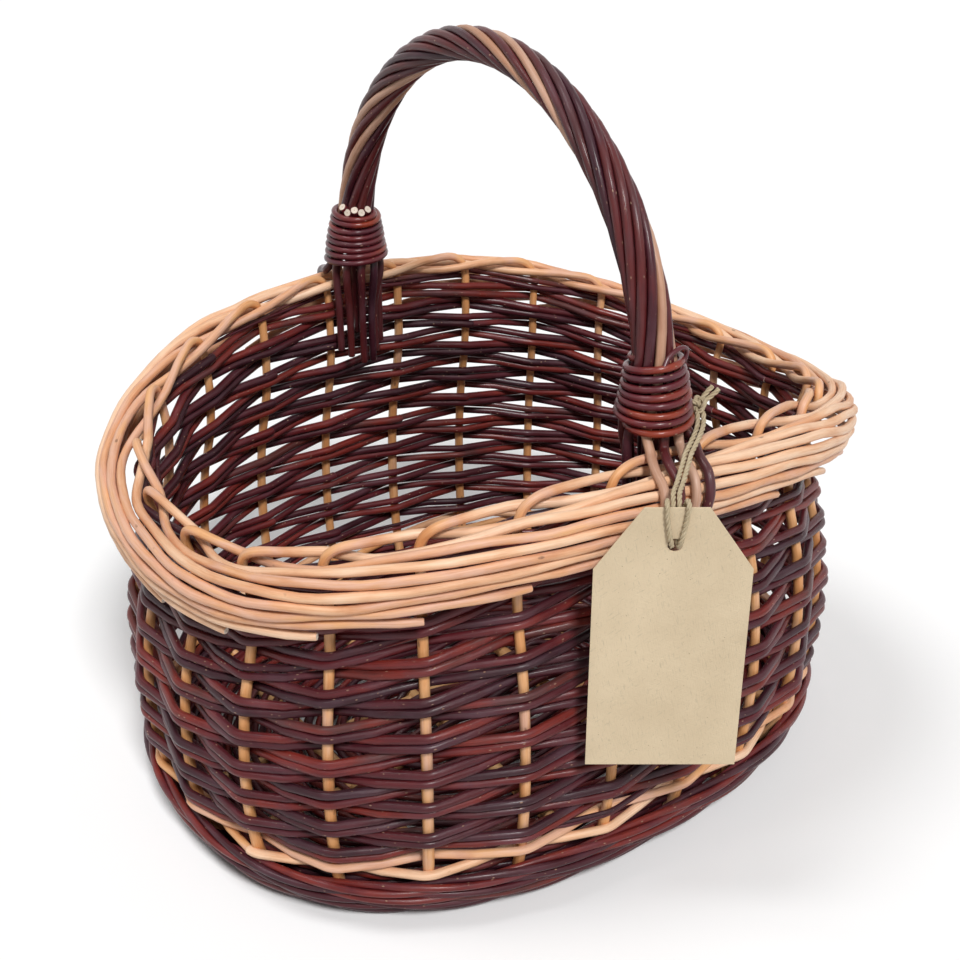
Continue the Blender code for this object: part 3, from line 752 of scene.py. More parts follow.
def card():
    """Kraft card: short fibres three ways, dark flecks and a soft worn tone."""
    graph = Graph("kraft_card_fibres")
    spot = graph.attribute("rod_place", "Vector")
    cloud = graph.noise(spot, scale=28.0, detail=5.0)
    colour = graph.ramp(graph.spread(cloud, *noise_range), card_stops)
    height = cloud
    for turn_degrees, tint in card_fibres:
        angle = math.radians(turn_degrees)
        turned = graph.add("VectorRotate", {"Vector": spot, "Axis": (0, 1, 0), "Angle": angle})
        fibres = graph.noise(turned, scale=1900.0, along=0.12)
        tone = [share * tint for share in card_fibre_tint]
        colour = graph.tinted(colour, fibres, (0.60, 0.72), 0.45, tone, "MIX")
        height = graph.maths("ADD", height, fibres)
    flecks = graph.specks(spot, scale=520.0, size=0.16, patch_scale=240.0, patch_range=(0.55, 0.62))
    colour = graph.dotted(colour, flecks, 0.7, fleck_tint)
    return graph.finish(colour, graph.spread(cloud, *noise_range, 0.82, 0.95), height, card_depth)


def twine_fibre():
    """Jute: dull straw-coloured fibres along each ply."""
    graph = Graph("jute_fibres")
    spot = graph.attribute("rod_place", "Vector")
    fibres = graph.noise(spot, scale=3800.0, detail=4.0, roughness=0.6, along=0.08)
    colour = graph.ramp(fibres, jute_stops)
    cloud = graph.noise(spot, scale=160.0)
    colour = graph.tinted(colour, cloud, (0.4, 0.7), 0.4, jute_cloud_tint)
    return graph.finish(colour, graph.spread(fibres, *noise_range, 0.75, 0.95), fibres, jute_depth)


brown_bark = bark("brown_bark", brown_stops, 0.34, 0.33, 0.16)
red_bark = bark("red_bark", red_stops, 0.12, 0.26, 0.36)
handle_bark = bark("handle_bark", handle_stops, 0.36, 0.31, 0.18)
border_wood = peeled("border_wood", peeled_stops, (0.72, 0.52, 0.40))
stake_wood = peeled("stake_wood", stake_stops, (0.75, 0.55, 0.40))
bare_wood = peeled("bare_handle_wood", bare_stops, (0.60, 0.42, 0.34))
end_wood = cut_wood()
card_face = card()
jute = twine_fibre()

border_table = smooth(border_path_shares, border_sampling)[0]


def border_profile(spacings):
    inward = np.interp(spacings, border_table[:, 0], border_table[:, 1])
    down = np.interp(spacings, border_table[:, 0], border_table[:, 2])
    return inward, down


def border_slope(spacings):
    """How steeply upwards the border's outer side faces at this place of its section."""
    inward_before, down_before = border_profile(spacings - 1)
    inward_after, down_after = border_profile(spacings + 1)
    return np.arctan2(inward_before - inward_after, down_after - down_before)


def border_place(share, spacings, outwards=0.0):
    here = share + spacings / stake_count
    inward, down = border_profile(spacings)
    slope = border_slope(spacings)
    drop = border_radius + down * border_step - outwards * np.sin(slope) * (outwards > 0)
    inset = hook_inset + inward * border_step - outwards * np.cos(slope) * (outwards > 0)
    return place(here, inset, rim_top(here) - drop)


def stake_radius_at(height):
    """Stakes taper up the wall to the thickness of a border rod."""
    return stake_radius + (border_radius - stake_radius) * np.clip(height / weave_top, 0, 1)


def stake_path(number):
    """One stake from the base up the wall, over its hook at the rim and down round the border."""
    share = stake_share(number)
    feet = [
        place(share, base_inset - upsett_gap, base_height),
        place(share, upsett_turn_inset, base_height + upsett_rise),
    ]
    wall = [
        place(share, lean * wall_lean, wall_height(share, level * rim_height))
        for level, lean in wall_profile_shares
    ]
    radii = [stake_radius] * len(feet)
    radii += [stake_radius_at(level * rim_height) for level, _ in wall_profile_shares]
    hook = []
    for turn in map(math.radians, hook_turn_degrees):
        here = share + hook_bend_radius * (1 - math.cos(turn)) / rim_length
        drop = border_radius + hook_bend_radius * (1 - math.sin(turn))
        hook.append(place(here, hook_inset, rim_top(here) - drop))
    first = border_path_shares[0][0]
    last = border_path_shares[-1][0]
    spacings = np.linspace(first, last, int((last - first) / border_sampling) + 1)
    droop = border_tail_droop * np.clip(spacings - last + 1, 0, 1) ** 2
    border = border_place(share, spacings) - up * droop[:, None]
    radii += [border_radius] * (len(hook) + len(border))
    radii[-1] = tail_end_diameter / 2
    return np.concatenate([feet, wall, hook, border]), np.array(radii)


def add_stakes():
    """Each stake is one piece: a darker, oranger tone up the wall, which is painted shade on the same peeled
    wood, and paler wood round the border.
    """
    for number in range(stake_count):
        points, radii = smooth_rod(*stake_path(number))
        runs = run_along(points)
        radii = radii * draw.uniform(*stake_size_shares) * (1 + drift(runs, *stake_size_drift))
        bend = runs[np.argmax(points[:, 2] > wall_height(stake_share(number), weave_top))]
        eased = np.clip((runs - bend) / border_ease_run, 0, 1)[:, None]
        points = points + up * drift(runs, border_wander_wave, border_wander)[:, None] * eased
        wander = drift(runs, border_wander_wave, border_lift)[:, None]
        points = points * (1 + level_only * wander * eased / rim_half_width)
        rod = Rod(*thinned(points, radii), tone=draw.uniform(*border_tones))
        past_bend = np.clip((rod.places[:, 2] - rod.places[:, 2].min() - bend) / tone_ease_run, 0, 1)
        # Painted shade: the stake's wall part is darker than its border part, though it is the same wood
        shaded_wall_tone = draw.uniform(*stake_painted_shade_tones)
        rod.tone = shaded_wall_tone + (rod.tone - shaded_wall_tone) * past_bend
        name = f"{number + 1:02d}"
        add_piece(f"peeled_stake_{name}", [rod], border_wood, [f"stake_{name}"])


def kinked(side, reach, offsets, half_spacing):
    """How far off the stakes' line a rod runs, this far from a stake: straight, with a kink at the stake."""
    slope = 1 / (half_spacing - kink_half_length / 2)
    near = 1 - offsets**2 / (2 * kink_half_length) * slope
    far = 1 - (np.abs(offsets) - kink_half_length / 2) * slope
    return side * reach * np.where(np.abs(offsets) < kink_half_length, near, far)


def woven_path(shares, levels, sides, radii):
    """A rod past these stakes, outside where the side is 1 and inside where it is -1."""
    half_spacing = rim_length / stake_count / 2
    offsets = np.array(kink_place_shares) * kink_half_length
    offsets = np.concatenate([offsets, [half_spacing]])
    points = []
    thickness = []
    for index in range(len(shares)):
        nearby = offsets if index < len(shares) - 1 else offsets[:-1]
        here = shares[index] + nearby / rim_length
        after = min(index + 1, len(shares) - 1)
        way = np.clip(nearby / (2 * half_spacing), 0, 1)
        level = levels[index] + (levels[after] - levels[index]) * way
        radius = radii[index] + (radii[after] - radii[index]) * way
        reach = stake_radius_at(levels[index]) + radii[index] - weave_press
        off = kinked(sides[index], reach, nearby, half_spacing)
        points.append(place(here, wall_inset(level) - off, wall_height(here, level)))
        thickness.append(radius)
    return np.concatenate(points), np.concatenate(thickness)


def strand_stations(strand, upper):
    """Stake numbers, levels, sides and radii of one rod of a strand, from the weave's bottom to its top."""
    rise = weave_top - weave_bottom
    pitch = rise / course_count
    half_turn = stake_count // strand_count
    rows = []
    for step in range(-half_turn, course_count * half_turn + 1):
        lower = max(pitch * step / half_turn, 0.0)
        higher = min(pitch * step / half_turn + pitch, rise)
        if higher - lower > least_course_share * pitch:
            quarter = (higher - lower) / 4
            level = weave_bottom + (higher + lower) / 2 + quarter * (1 if upper else -1)
            number = strand * half_turn + step
            side = 1 if (step + strand) % 2 else -1
            squeeze = rim_top(stake_share(number)) / rim_height
            radius = min(weave_rod_diameter / 2, quarter * squeeze * weave_press_share)
            rows.append((number, level, side, radius))
    return rows


def rod_lengths(rows):
    """Splits a strand's stations into single rods, which meet behind a stake."""
    start = 0
    while start < len(rows) - 1:
        end = start + int(draw.integers(*weave_length_range))
        while end < len(rows) and rows[end][2] > 0:
            end += 1
        if end > len(rows) - weave_length_range[0] // 2:
            end = len(rows) - 1
        yield rows[start : end + 1]
        start = end


def strand_rods(strand):
    rods = []
    for upper in range(rods_per_strand):
        for rows in rod_lengths(strand_stations(strand, upper)):
            numbers, levels, sides, radii = map(np.array, zip(*rows))
            tip_share = weave_tip_share + weave_tip_spread_share * draw.random()
            taper = np.linspace(1.0, tip_share, len(rows))
            points, thickness = woven_path(stake_share(numbers), levels, sides, radii * taper)
            runs = run_along(points)
            points = points + up * drift(runs, *weave_sway_drift)[:, None]
            points = points + unit(points * level_only) * drift(runs, *weave_spread_drift)[:, None]
            rods.append(Rod(set_back(points, 0), thickness, sides=weave_sides))
    return rods


def add_side_weave():
    for strand in range(strand_count):
        letter = "ab"[strand]
        replaced = [f"side_weave_{level}_{letter}" for level in ("lower", "upper")]
        add_piece(f"weave_strand_{letter}", strand_rods(strand), brown_bark, replaced)


def pairing_rods():
    """Two peeled rods woven once round in opposite step, each in two lengths."""
    squeeze = (rim_height - rim_saddle) / rim_height
    pitch = (pairing_rod_diameter + pairing_gap) / squeeze
    rods = []
    for row, odd_side in enumerate((-1, 1)):
        level = weave_bottom - pitch * (row + 1 / 2)
        for half in range(2):
            start = half * stake_count // 2 + row
            numbers = np.arange(start, start + stake_count // 2 + 1)
            sides = np.where(numbers % 2, odd_side, -odd_side)
            levels = np.full(len(numbers), level)
            radii = pairing_rod_diameter / 2 * np.linspace(1.0, pairing_tip_share, len(numbers))
            points, thickness = woven_path(stake_share(numbers), levels, sides, radii)
            rods.append(Rod(set_back(points, 0), thickness))
    return rods


def add_pairing_band():
    replaced = ["pairing_rod_lower", "pairing_rod_upper"]
    add_piece("pairing_band", pairing_rods(), border_wood, replaced)


def wale_rods():
    """Rounds of three rods each, which wind about each other as they pass the stakes."""
    radius = wale_rod_diameter / 2
    orbit = 2 * radius / math.sqrt(3)
    rods = []
    for row, (across, rise) in enumerate(wale_place_shares):
        for index in range(wale_round_rods):
            shares = np.linspace(0, 1, wale_samples + 1)[:-1] + row / wale_samples
            twist = shares * stake_count / wale_twist_stakes
            turn = math.tau * (twist + index / wale_round_rods + row * wale_row_turn_share)
            inset = wale_inset + across * wale_step + orbit * np.cos(turn)
            height = wall_height(shares, rise * wale_step) + orbit * np.sin(turn)
            points = set_back(place(shares, inset, np.maximum(height, radius)), -1)
            thickness = radius * (1 + drift(run_along(points), *wale_size_drift))
            rods.append(Rod(points, thickness, sides=weave_sides))
    return rods


def stake_line_inset(height):
    """How far in the stakes' middle line is at this height of the turn up from the base."""
    levels = [(base_height + upsett_rise, upsett_turn_inset)]
    levels += [(level * rim_height, lean * wall_lean) for level, lean in wall_profile_shares[:2]]
    return float(np.interp(height, *zip(*levels)))


def upsett_rods():
    """Rounds inside the stakes behind the wale, and rounds woven over and under their feet."""
    half_spacing = 0.5 / stake_count
    steps = np.arange(2 * stake_count + 1)
    shares = steps * half_spacing + first_stake_share
    rounds = []
    for index, height in enumerate(inner_wale_heights):
        inset = stake_line_inset(height) + np.where(steps % 2, foot_reach / 2, foot_reach)
        rounds.append(place(shares + index * half_spacing, inset, wall_height(shares, height)))
    for index, (inset, height) in enumerate(upsett_places):
        signs = np.cos(math.pi * (steps / 2 + index))
        rounds.append(place(shares, inset, height + signs * foot_reach))
    rods = []
    for points in rounds:
        curve, radii = smooth_rod(set_back(points, -1), wale_rod_diameter / 2)
        rods.append(Rod(*thinned(curve, radii), sides=weave_sides))
    return rods


def add_foot_wale():
    add_piece("foot_wale_rounds", wale_rods() + upsett_rods(), brown_bark, ["foot_wale"])


def crossings(points, lines):
    """Where a loop crosses lines, each (axis, place, half width): places on the loop, and half widths."""
    found = []
    for axis, beside, reach in lines:
        off = points[:, axis] - beside
        for index in np.nonzero(np.sign(off[:-1]) * np.sign(off[1:]) < 0)[0]:
            found.append((index + off[index] / (off[index] - off[index + 1]), reach))
    return sorted(found)


def base_round(share, phase):
    """One rod woven round the base's sticks, over one and under the next."""
    edge = place(np.linspace(0, 1, base_samples + 1), base_inset + base_rod_diameter / 2, 0.0)
    spine_share = (edge[:, 0].max() - edge[:, 1].max()) / edge[:, 0].max()
    points = edge * np.array((1 - share + share * spine_share, 1 - share, 0.0))
    radius = base_rod_diameter / 2
    lines = [(0, beside, cross_stick_diameter / 2) for beside in cross_stick_places]
    lines += [(1, beside, long_stick_diameter / 2) for beside in long_stick_places]
    found = crossings(points, lines)
    places = np.array([where for where, _ in found])
    reaches = np.array([reach for _, reach in found]) + radius + seat_gap
    signs = np.where((np.arange(len(found)) + phase) % 2, 1, -1)
    heights = np.interp(np.arange(base_samples + 1), places, signs * reaches, period=base_samples)
    points[:, 2] = base_height + heights
    smoothed = (points[:-1] + np.roll(points[:-1], 1, axis=0) + np.roll(points[:-1], -1, axis=0)) / 3
    smoothed = np.roll(smoothed, round(phase * base_join_share * base_samples), axis=0)
    return Rod(set_back(np.vstack([smoothed, smoothed[:1]]), -1), radius, sides=fine_sides)


def base_rods():
    half_width = rim_half_width - base_inset
    inner = (long_stick_places[1] + long_stick_diameter / 2 + base_rod_diameter) / half_width
    rods = []
    shares = np.arange(0, 1 - inner, base_rod_pitch / half_width)
    for index, share in enumerate(shares):
        rods.append(base_round(share, index))
    edge = place(np.linspace(0, 1, base_samples + 1), base_inset, 0.0)
    reach = edge[:, 0].max() * (1 - shares[-1]) + (edge[:, 0].max() - edge[:, 1].max()) * shares[-1]
    reach -= base_rod_pitch
    beside = long_stick_places[1] - long_stick_diameter / 2 - base_rod_diameter / 2
    lift = cross_stick_diameter / 2 + base_rod_diameter / 2 + seat_gap
    count = int(2 * beside / base_rod_pitch) + 1
    for index, y in enumerate(np.linspace(-beside, beside, count)):
        sign = 1 if index % 2 else -1
        x = np.array((-reach, cross_stick_places[1], 0.0, cross_stick_places[2], reach))
        z = base_height + lift * sign * np.array(base_middle_lift_shares)
        points = np.stack([x, np.full(len(x), y), z], axis=-1)
        points, radii = thinned(*smooth_rod(points, base_rod_diameter / 2))
        rods.append(Rod(points, radii, sides=fine_sides))
    return rods


def base_sticks():
    edge = place(np.linspace(0, 1, base_samples + 1), base_inset + base_rod_diameter, 0.0)
    rods = []
    for places, axis, diameter in (
        (cross_stick_places, 0, cross_stick_diameter),
        (long_stick_places, 1, long_stick_diameter),
    ):
        for beside in places:
            near = np.abs(edge[:, axis] - abs(beside)) + (edge[:, 1 - axis] < 0)
            half = edge[near.argmin(), 1 - axis]
            along = np.linspace(-half, half, stick_stations)
            points = np.zeros((len(along), 3))
            points[:, axis] = beside
            points[:, 1 - axis] = along
            points[:, 2] = base_height
            rods.append(Rod(points, diameter / 2 * (1 + drift(along + half, *stick_size_drift))))
    return rods


def add_base():
    add_piece("base_rounds", base_rods(), brown_bark, ["base_weave"])
    sticks = [f"cross_stick_{number + 1}" for number in range(len(cross_stick_places))]
    sticks += [f"long_stick_{number + 1}" for number in range(len(long_stick_places))]
    add_piece("base_sticks", base_sticks(), stake_wood, sticks)


def handle_angle(height):
    return math.asin((height - handle_base_height) / handle_rise)


def handle_frame(angle):
    """The arch's middle line at this angle, with the way outwards from the arch and the way across it."""
    centre = np.array((
        0.0, -handle_half_span * math.cos(angle), handle_base_height + handle_rise * math.sin(angle)
    ))
    outward = unit(np.array((0.0, -handle_rise * math.cos(angle), handle_half_span * math.sin(angle))))
    return centre, outward, np.array((1.0, 0.0, 0.0))


def leg_place(angle, turn, radius, rise=0.0):
    """A place beside the handle at this angle of the arch, this far round it and off its middle."""
    centre, outward, across = handle_frame(angle)
    return centre + (outward * math.cos(turn) + across * math.sin(turn)) * radius + up * rise


def blend(leg, top, angle):
    return leg + (top - leg) * max(math.sin(angle), 0) ** 2


def ring_radius(angle):
    """Radius of the ring of rods: it flares out under the binding."""
    height = handle_base_height + handle_rise * math.sin(angle)
    flare = (binding_top_height - height) / (binding_top_height - binding_foot_height)
    spread = handle_ring_foot_radius - handle_ring_radius
    return blend(handle_ring_radius, handle_ring_top_radius, angle) + spread * max(flare, 0)


def twist_at(angle):
    foot = handle_angle(binding_foot_height)
    way = (angle - foot) / (math.pi - 2 * foot)
    eased = way * way * (3 - 2 * way)
    return math.tau * handle_twist_turns * ((1 - twist_ease_share) * way + twist_ease_share * eased)


def front_foot(turn):
    """A rod's points from its end up to the binding on the front leg. The turn is its angle from outwards."""
    turn = (turn + math.pi) % math.tau - math.pi
    side = 1 if turn > 0 else -1
    order = round(abs(math.degrees(turn)) / (360 / handle_rod_count) - 0.5)
    if order < len(outer_foot_places):
        return outer_foot(side * outer_foot_places[order])
    across, set_in = inner_foot_places[order - len(outer_foot_places)]
    height = inner_foot_end_heights[order - len(outer_foot_places)]
    end = np.array((side * across, -handle_half_span + set_in, height))
    return [end, end + up * (rim_height - height)], [inner_foot_diameter] * 2


def outer_foot(across):
    """Over the border and down its outer side. The points run up from the rod's end."""
    share = 1 - back_share + across / rim_length
    lean = outer_foot_lean / rim_length
    radius = handle_rod_diameter / 2
    off = border_radius + radius + foot_gap
    points = [place(share - lean, outer_foot_end_inset, outer_foot_end_height)]
    furthest = outer_foot_profile_shares[-1]
    for spacings in reversed(outer_foot_profile_shares):
        here = share - lean * spacings / furthest
        points.append(border_place(here - spacings / stake_count, np.float64(spacings), off))
    points.append(place(share, hook_inset, rim_top(share) + radius + foot_gap))
    return points, [handle_rod_diameter] * len(points)


def handle_rod(index):
    start = math.tau * (index + 0.5) / handle_rod_count
    points, diameters = front_foot(start)
    foot = handle_angle(binding_foot_height)
    for angle in np.linspace(foot, math.pi - foot, handle_stations):
        points.append(leg_place(angle, start + twist_at(angle), ring_radius(angle)))
        diameters.append(blend(handle_rod_diameter, handle_rod_top_diameter, angle))
    back_points, back_diameters = front_foot(-(start + twist_at(math.pi - foot)))
    points += [point * half_turned for point in reversed(back_points)]
    diameters += back_diameters[::-1]
    curve, radii = smooth_rod(points, np.array(diameters) / 2)
    radii = radii * (1 + drift(run_along(curve), *handle_size_drift))
    return Rod(*thinned(curve, radii))


def add_handle():
    foot = handle_angle(binding_foot_height)
    tip = np.array((0.0, -handle_half_span + handle_foot_set_in, handle_core_foot_height))
    points = [tip]
    diameters = [handle_core_tip_diameter]
    for angle in np.linspace(foot, math.pi - foot, handle_stations):
        points.append(handle_frame(angle)[0])
        diameters.append(blend(handle_core_diameter, handle_core_top_diameter, angle))
    points.append(tip * np.array((1.0, -1.0, 1.0)))
    diameters.append(handle_core_tip_diameter)
    core = Rod(*thinned(*smooth_rod(points, np.array(diameters) / 2)))
    add_piece("handle_bow", [core], brown_bark, ["handle_core"])
    for index in range(handle_rod_count):
        skin = bare_wood if index in pale_handle_rods else handle_bark
        name = f"{index + 1:02d}"
        add_piece(f"handle_twist_{name}", [handle_rod(index)], skin, [f"handle_rod_{name}"])


def binding_wraps():
    """A binding's rod, wound up the front leg over the ring of rods, with both ends tucked in."""
    count = binding_turns * binding_points_per_turn
    tube = binding_rod_diameter / 2
    steps = np.arange(count + 1)
    tilt = drift(steps / binding_points_per_turn, *binding_tilt_drift)
    bulge = drift(steps / binding_points_per_turn, *binding_bulge_drift)
    from_end = np.minimum(steps, count - steps) / (binding_points_per_turn * binding_tuck_share)
    tuck = np.clip(1 - from_end, 0, 1) ** 2 * binding_tuck
    points = []
    for step in steps:
        height = binding_foot_height + (binding_top_height - binding_foot_height) * step / count
        angle = handle_angle(height)
        turn = math.radians(binding_start_degrees) + math.tau * step / binding_points_per_turn
        radius = ring_radius(angle) + handle_rod_diameter / 2 + binding_slack + tube + abs(bulge[step])
        points.append(leg_place(angle, turn, radius - tuck[step], tilt[step]))
    points = np.array(points)
    runs = run_along(points)
    rod = Rod(points, tube * (1 + drift(runs, *binding_size_drift)))
    start, middle, reach = binding_tone_shares
    wander = start + middle * drift(runs, binding_tone_wave, reach)
    rod.tone = np.clip(np.interp(rod.places[:, 2] - rod.places[:, 2].min(), runs, wander), 0, 1)
    return rod


def cut_ends():
    """Ends of rods that stand out above the back binding."""
    rods = []
    top = math.pi - handle_angle(cut_end_height)
    under = math.pi - handle_angle(cut_end_foot_height)
    for turn_degrees, rise in cut_end_places:
        turn = math.radians(turn_degrees)
        points = (
            leg_place(under, turn, handle_ring_radius - cut_end_foot_inset),
            leg_place(top, turn, handle_ring_radius + cut_end_lean / 2, rise / 2),
            leg_place(top, turn, handle_ring_radius + cut_end_lean, rise),
        )
        rods.append(Rod(points, cut_end_diameter / 2, tone=cut_end_tone))
    return rods


def loose_loop():
    """The front binding's end, which stands up in a small loop."""
    points = []
    for turn_degrees, height, off in loose_loop_places:
        angle = handle_angle(height)
        radius = ring_radius(angle) + handle_rod_diameter / 2 + off
        points.append(leg_place(angle, math.radians(turn_degrees), radius))
    return [Rod(*smooth_rod(points, loose_loop_diameter / 2))]


def add_bindings():
    front = binding_wraps()
    add_piece("front_wraps", [front] + loose_loop(), red_bark, ["binding_front"])
    back = binding_wraps()
    back.corners = back.corners * half_turned
    add_piece("back_wraps", [back] + cut_ends(), red_bark, ["binding_back"])


def tag_place(across, out, rise):
    """A place given from the middle of the tag's hole: across the tag, out from its face and up."""
    heading = math.radians(tag_heading_degrees)
    right = np.array((math.cos(heading), -math.sin(heading), 0.0))
    face = np.array((-math.sin(heading), -math.cos(heading), 0.0))
    return np.array(tag_hole_place) + right * across + face * out + up * rise


def plied(points):
    """Thin rods wound round this path, as twine is laid. It gives them, the smooth path and its length."""
    curve, _ = smooth_rod(points, twine_radius, twine_radius / 2)
    across, over = carried_frames(curve)
    runs = run_along(curve)
    plies = []
    for index in range(ply_count):
        turn = math.tau * (runs / ply_pitch + index / ply_count)
        off = across * np.cos(turn)[:, None] + over * np.sin(turn)[:, None]
        ply = curve + off * twine_diameter * ply_orbit_share
        radius = twine_diameter * ply_radius_share * (1 + drift(runs, *ply_size_drift))
        plies.append(Rod(ply, radius, tone=twine_tone, sides=fine_sides))
    return plies, curve, runs[-1]


def twine_path():
    """Both strands from the knot, through the hole and over the tag's top edge to the bight between them."""
    right = [(across + twine_spread, out, rise) for across, out, rise in twine_lead]
    left = [(across - twine_spread, out, rise) for across, out, rise in twine_lead]
    mirrored = [(-across, out, rise) for across, out, rise in reversed(twine_hitch)]
    route = right + list(twine_hitch) + [twine_bight] + mirrored + left[::-1]
    return [tag_place(*point) for point in route]


def add_twine():
    plies, curve, length = plied(twine_path())
    piece = add_piece("tag_cord", plies, jute, ["twine_loop"], cut=jute, body="tag")
    line = curve[::twine_line_step]
    if len(curve) % twine_line_step != 1:
        line = np.concatenate([line, curve[-1:]])
    return piece, line, length


def knot_curve():
    """A small trefoil, which stands for the crossed turns of the knot."""
    turns = np.linspace(0, math.tau, knot_samples)
    x = np.sin(turns) + 2 * np.sin(2 * turns)
    y = np.cos(turns) - 2 * np.cos(2 * turns)
    z = -np.sin(3 * turns)
    trefoil = np.stack([x, y * knot_narrow_share, z * knot_tall_share], axis=-1)
    return np.array(knot_place) + trefoil * knot_reach


def add_knot():
    """A hitch round a rod of the handle, a neck up to the knot, the knot and its two tails."""
    centre, _, across = handle_frame(handle_angle(binding_foot_height))
    knee = front_foot(math.pi / 2)[0][1]
    bound = centre + across * handle_ring_foot_radius
    middle = knee + (bound - knee) * (hitch_height - knee[2]) / (bound[2] - knee[2])
    turns = np.linspace(0, math.tau * hitch_turns, hitch_samples)
    ring = np.stack([np.cos(turns), np.sin(turns), turns / hitch_radians_per_rise], axis=-1)
    ring = middle + ring * (handle_rod_diameter / 2 + twine_radius)
    paths = [ring, [ring[0], *knot_neck, knot_place], knot_curve()]
    paths += [[knot_place, *end] for end in knot_ends]
    rods = []
    for path in paths:
        rods += plied(path)[0]
    add_piece("cord_knot", rods, jute, ["twine_knot"], cut=jute)


def add_tag():
    """The bored card, built flat about the middle of its hole and then set in place."""
    half = tag_width / 2
    top = tag_hole_below_top
    bottom = top - tag_height
    outline = (
        (-half, bottom),
        (half, bottom),
        (half, top - tag_shoulder_drop),
        (half - tag_shoulder_across, top),
        (-half + tag_shoulder_across, top),
        (-half, top - tag_shoulder_drop),
    )
    turns = math.tau * np.arange(tag_hole_sides) / tag_hole_sides
    radius = tag_hole_diameter / 2
    hole = [(radius * math.cos(turn), radius * math.sin(turn)) for turn in turns]
    build = bmesh.new()
    edges = []
    for loop in (outline, hole):
        corners = [build.verts.new((across, -tag_thickness / 2, rise)) for across, rise in loop]
        edges += [build.edges.new((corners[index - 1], corners[index])) for index in range(len(corners))]
    bmesh.ops.triangle_fill(build, use_beauty=True, edges=edges)
    faces = bmesh.ops.extrude_face_region(build, geom=build.faces[:])["geom"]
    moved = [item for item in faces if isinstance(item, bmesh.types.BMVert)]
    bmesh.ops.translate(build, verts=moved, vec=(0, tag_thickness, 0))
    bmesh.ops.recalc_face_normals(build, faces=build.faces)
    mesh = bpy.data.meshes.new("card_tag")
    build.to_mesh(mesh)
    build.free()
    local = np.zeros(len(mesh.vertices) * 3)
    mesh.vertices.foreach_get("co", local)
    local = local.reshape(-1, 3)
    places = mesh.attributes.new("rod_place", "FLOAT_VECTOR", "POINT")
    places.data.foreach_set("vector", local.astype(np.float32).ravel())
    world = np.array([tag_place(across, out, rise) for across, out, rise in local])
    mesh.vertices.foreach_set("co", world.ravel())
    mesh.update()
    mesh.materials.append(card_face)
    tag = add_object("card_tag", mesh, "tag", ["hang_tag"])
    edge = tag.modifiers.new("worn edge", "BEVEL")
    edge.width = tag_edge_round
    edge.segments = 2


def add_floor():
    """A pale floor, paler where it is seen directly, which keeps the basket's soft shadow."""
    mesh = bpy.data.meshes.new("floor")
    half = floor_half_size
    corners = [(-half, -half, 0), (half, -half, 0), (half, half, 0), (-half, half, 0)]
    mesh.from_pydata(corners, [], [(0, 1, 2, 3)])
    floor = bpy.data.objects.new("floor", mesh)
    bpy.context.scene.collection.objects.link(floor)
    graph = Graph("studio_floor")
    graph.shader.inputs["Roughness"].default_value = floor_roughness
    graph.shader.inputs["Specular IOR Level"].default_value = floor_specular
    seen = seen_directly(graph.tree)
    shade = graph.mix(seen, opaque((floor_shade,) * 3), opaque((floor_seen_shade,) * 3))
    graph.feed(graph.shader.inputs["Base Color"], shade)
    mesh.materials.append(graph.material)


def seen_directly(tree):
    """1 for rays that come from the camera, off a gloss or through clear material, and 0 for others."""
    path = tree.nodes.new("ShaderNodeLightPath")
    found = path.outputs["Is Camera Ray"]
    for name in ("Is Glossy Ray", "Is Transmission Ray"):
        most = tree.nodes.new("ShaderNodeMath")
        most.operation = "MAXIMUM"
        tree.links.new(found, most.inputs[0])
        tree.links.new(path.outputs[name], most.inputs[1])
        found = most.outputs[0]
    return found


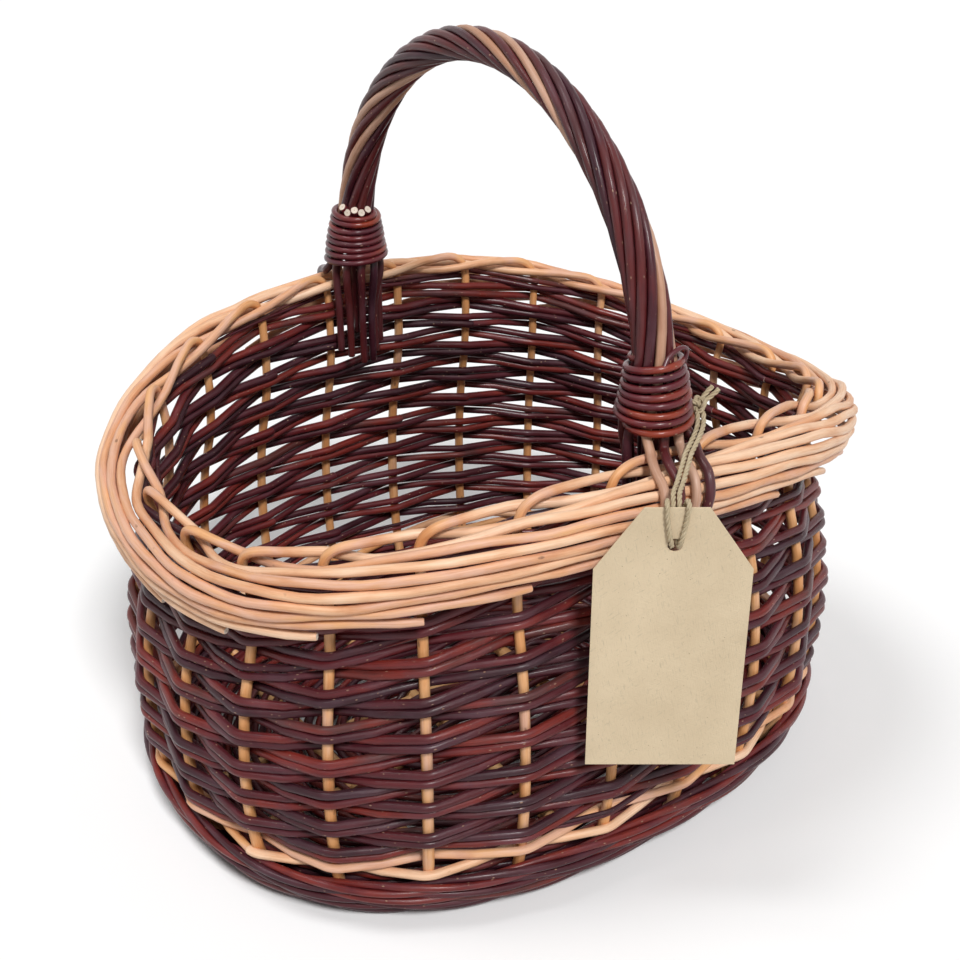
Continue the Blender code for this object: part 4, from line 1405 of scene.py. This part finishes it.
def add_world():
    """Soft even light, which shows white where it is seen directly."""
    world = bpy.data.worlds.new("studio")
    world.use_nodes = True
    tree = world.node_tree
    ambient = tree.nodes["Background"]
    ambient.inputs["Color"].default_value = (1, 1, 1, 1)
    ambient.inputs["Strength"].default_value = world_strength
    white = tree.nodes.new("ShaderNodeBackground")
    white.inputs["Color"].default_value = (1, 1, 1, 1)
    mixed = tree.nodes.new("ShaderNodeMixShader")
    tree.links.new(seen_directly(tree), mixed.inputs[0])
    tree.links.new(ambient.outputs[0], mixed.inputs[1])
    tree.links.new(white.outputs[0], mixed.inputs[2])
    tree.links.new(mixed.outputs[0], tree.nodes["World Output"].inputs["Surface"])
    bpy.context.scene.world = world


def add_lamps():
    """Each lamp lights evenly from its direction, given as the camera sees it."""
    heading = math.radians(camera_azimuth_degrees)
    right = Vector((math.cos(heading), -math.sin(heading), 0))
    front = Vector((-math.sin(heading), -math.cos(heading), 0))
    for name, (rightwards, towards_camera, upwards), power, softness_degrees in lamps:
        data = bpy.data.lights.new(name, "SUN")
        data.energy = power
        data.angle = math.radians(softness_degrees)
        lamp = bpy.data.objects.new(name, data)
        bpy.context.scene.collection.objects.link(lamp)
        towards = right * rightwards + front * towards_camera + Vector(up) * upwards
        lamp.rotation_mode = "QUATERNION"
        lamp.rotation_quaternion = (-towards).to_track_quat("-Z", "Y")


def add_camera():
    azimuth = math.radians(camera_azimuth_degrees)
    elevation = math.radians(camera_elevation_degrees)
    level = math.cos(elevation)
    back = Vector((-math.sin(azimuth) * level, -math.cos(azimuth) * level, math.sin(elevation)))
    data = bpy.data.cameras.new("camera")
    data.lens = camera_lens
    data.sensor_width = camera_sensor
    camera = bpy.data.objects.new("camera", data)
    bpy.context.scene.collection.objects.link(camera)
    camera.location = Vector(camera_target) + back * camera_distance
    camera.rotation_mode = "QUATERNION"
    camera.rotation_quaternion = (-back).to_track_quat("-Z", "Y")
    bpy.context.scene.camera = camera


add_camera()
twine, twine_line, twine_length = add_twine()
add_knot()
add_tag()
add_stakes()
add_side_weave()
add_pairing_band()
add_foot_wale()
add_base()
add_handle()
add_bindings()
add_floor()
add_world()
add_lamps()
bpy.context.scene.view_settings.view_transform = "Standard"
tuple(twine_line[0])
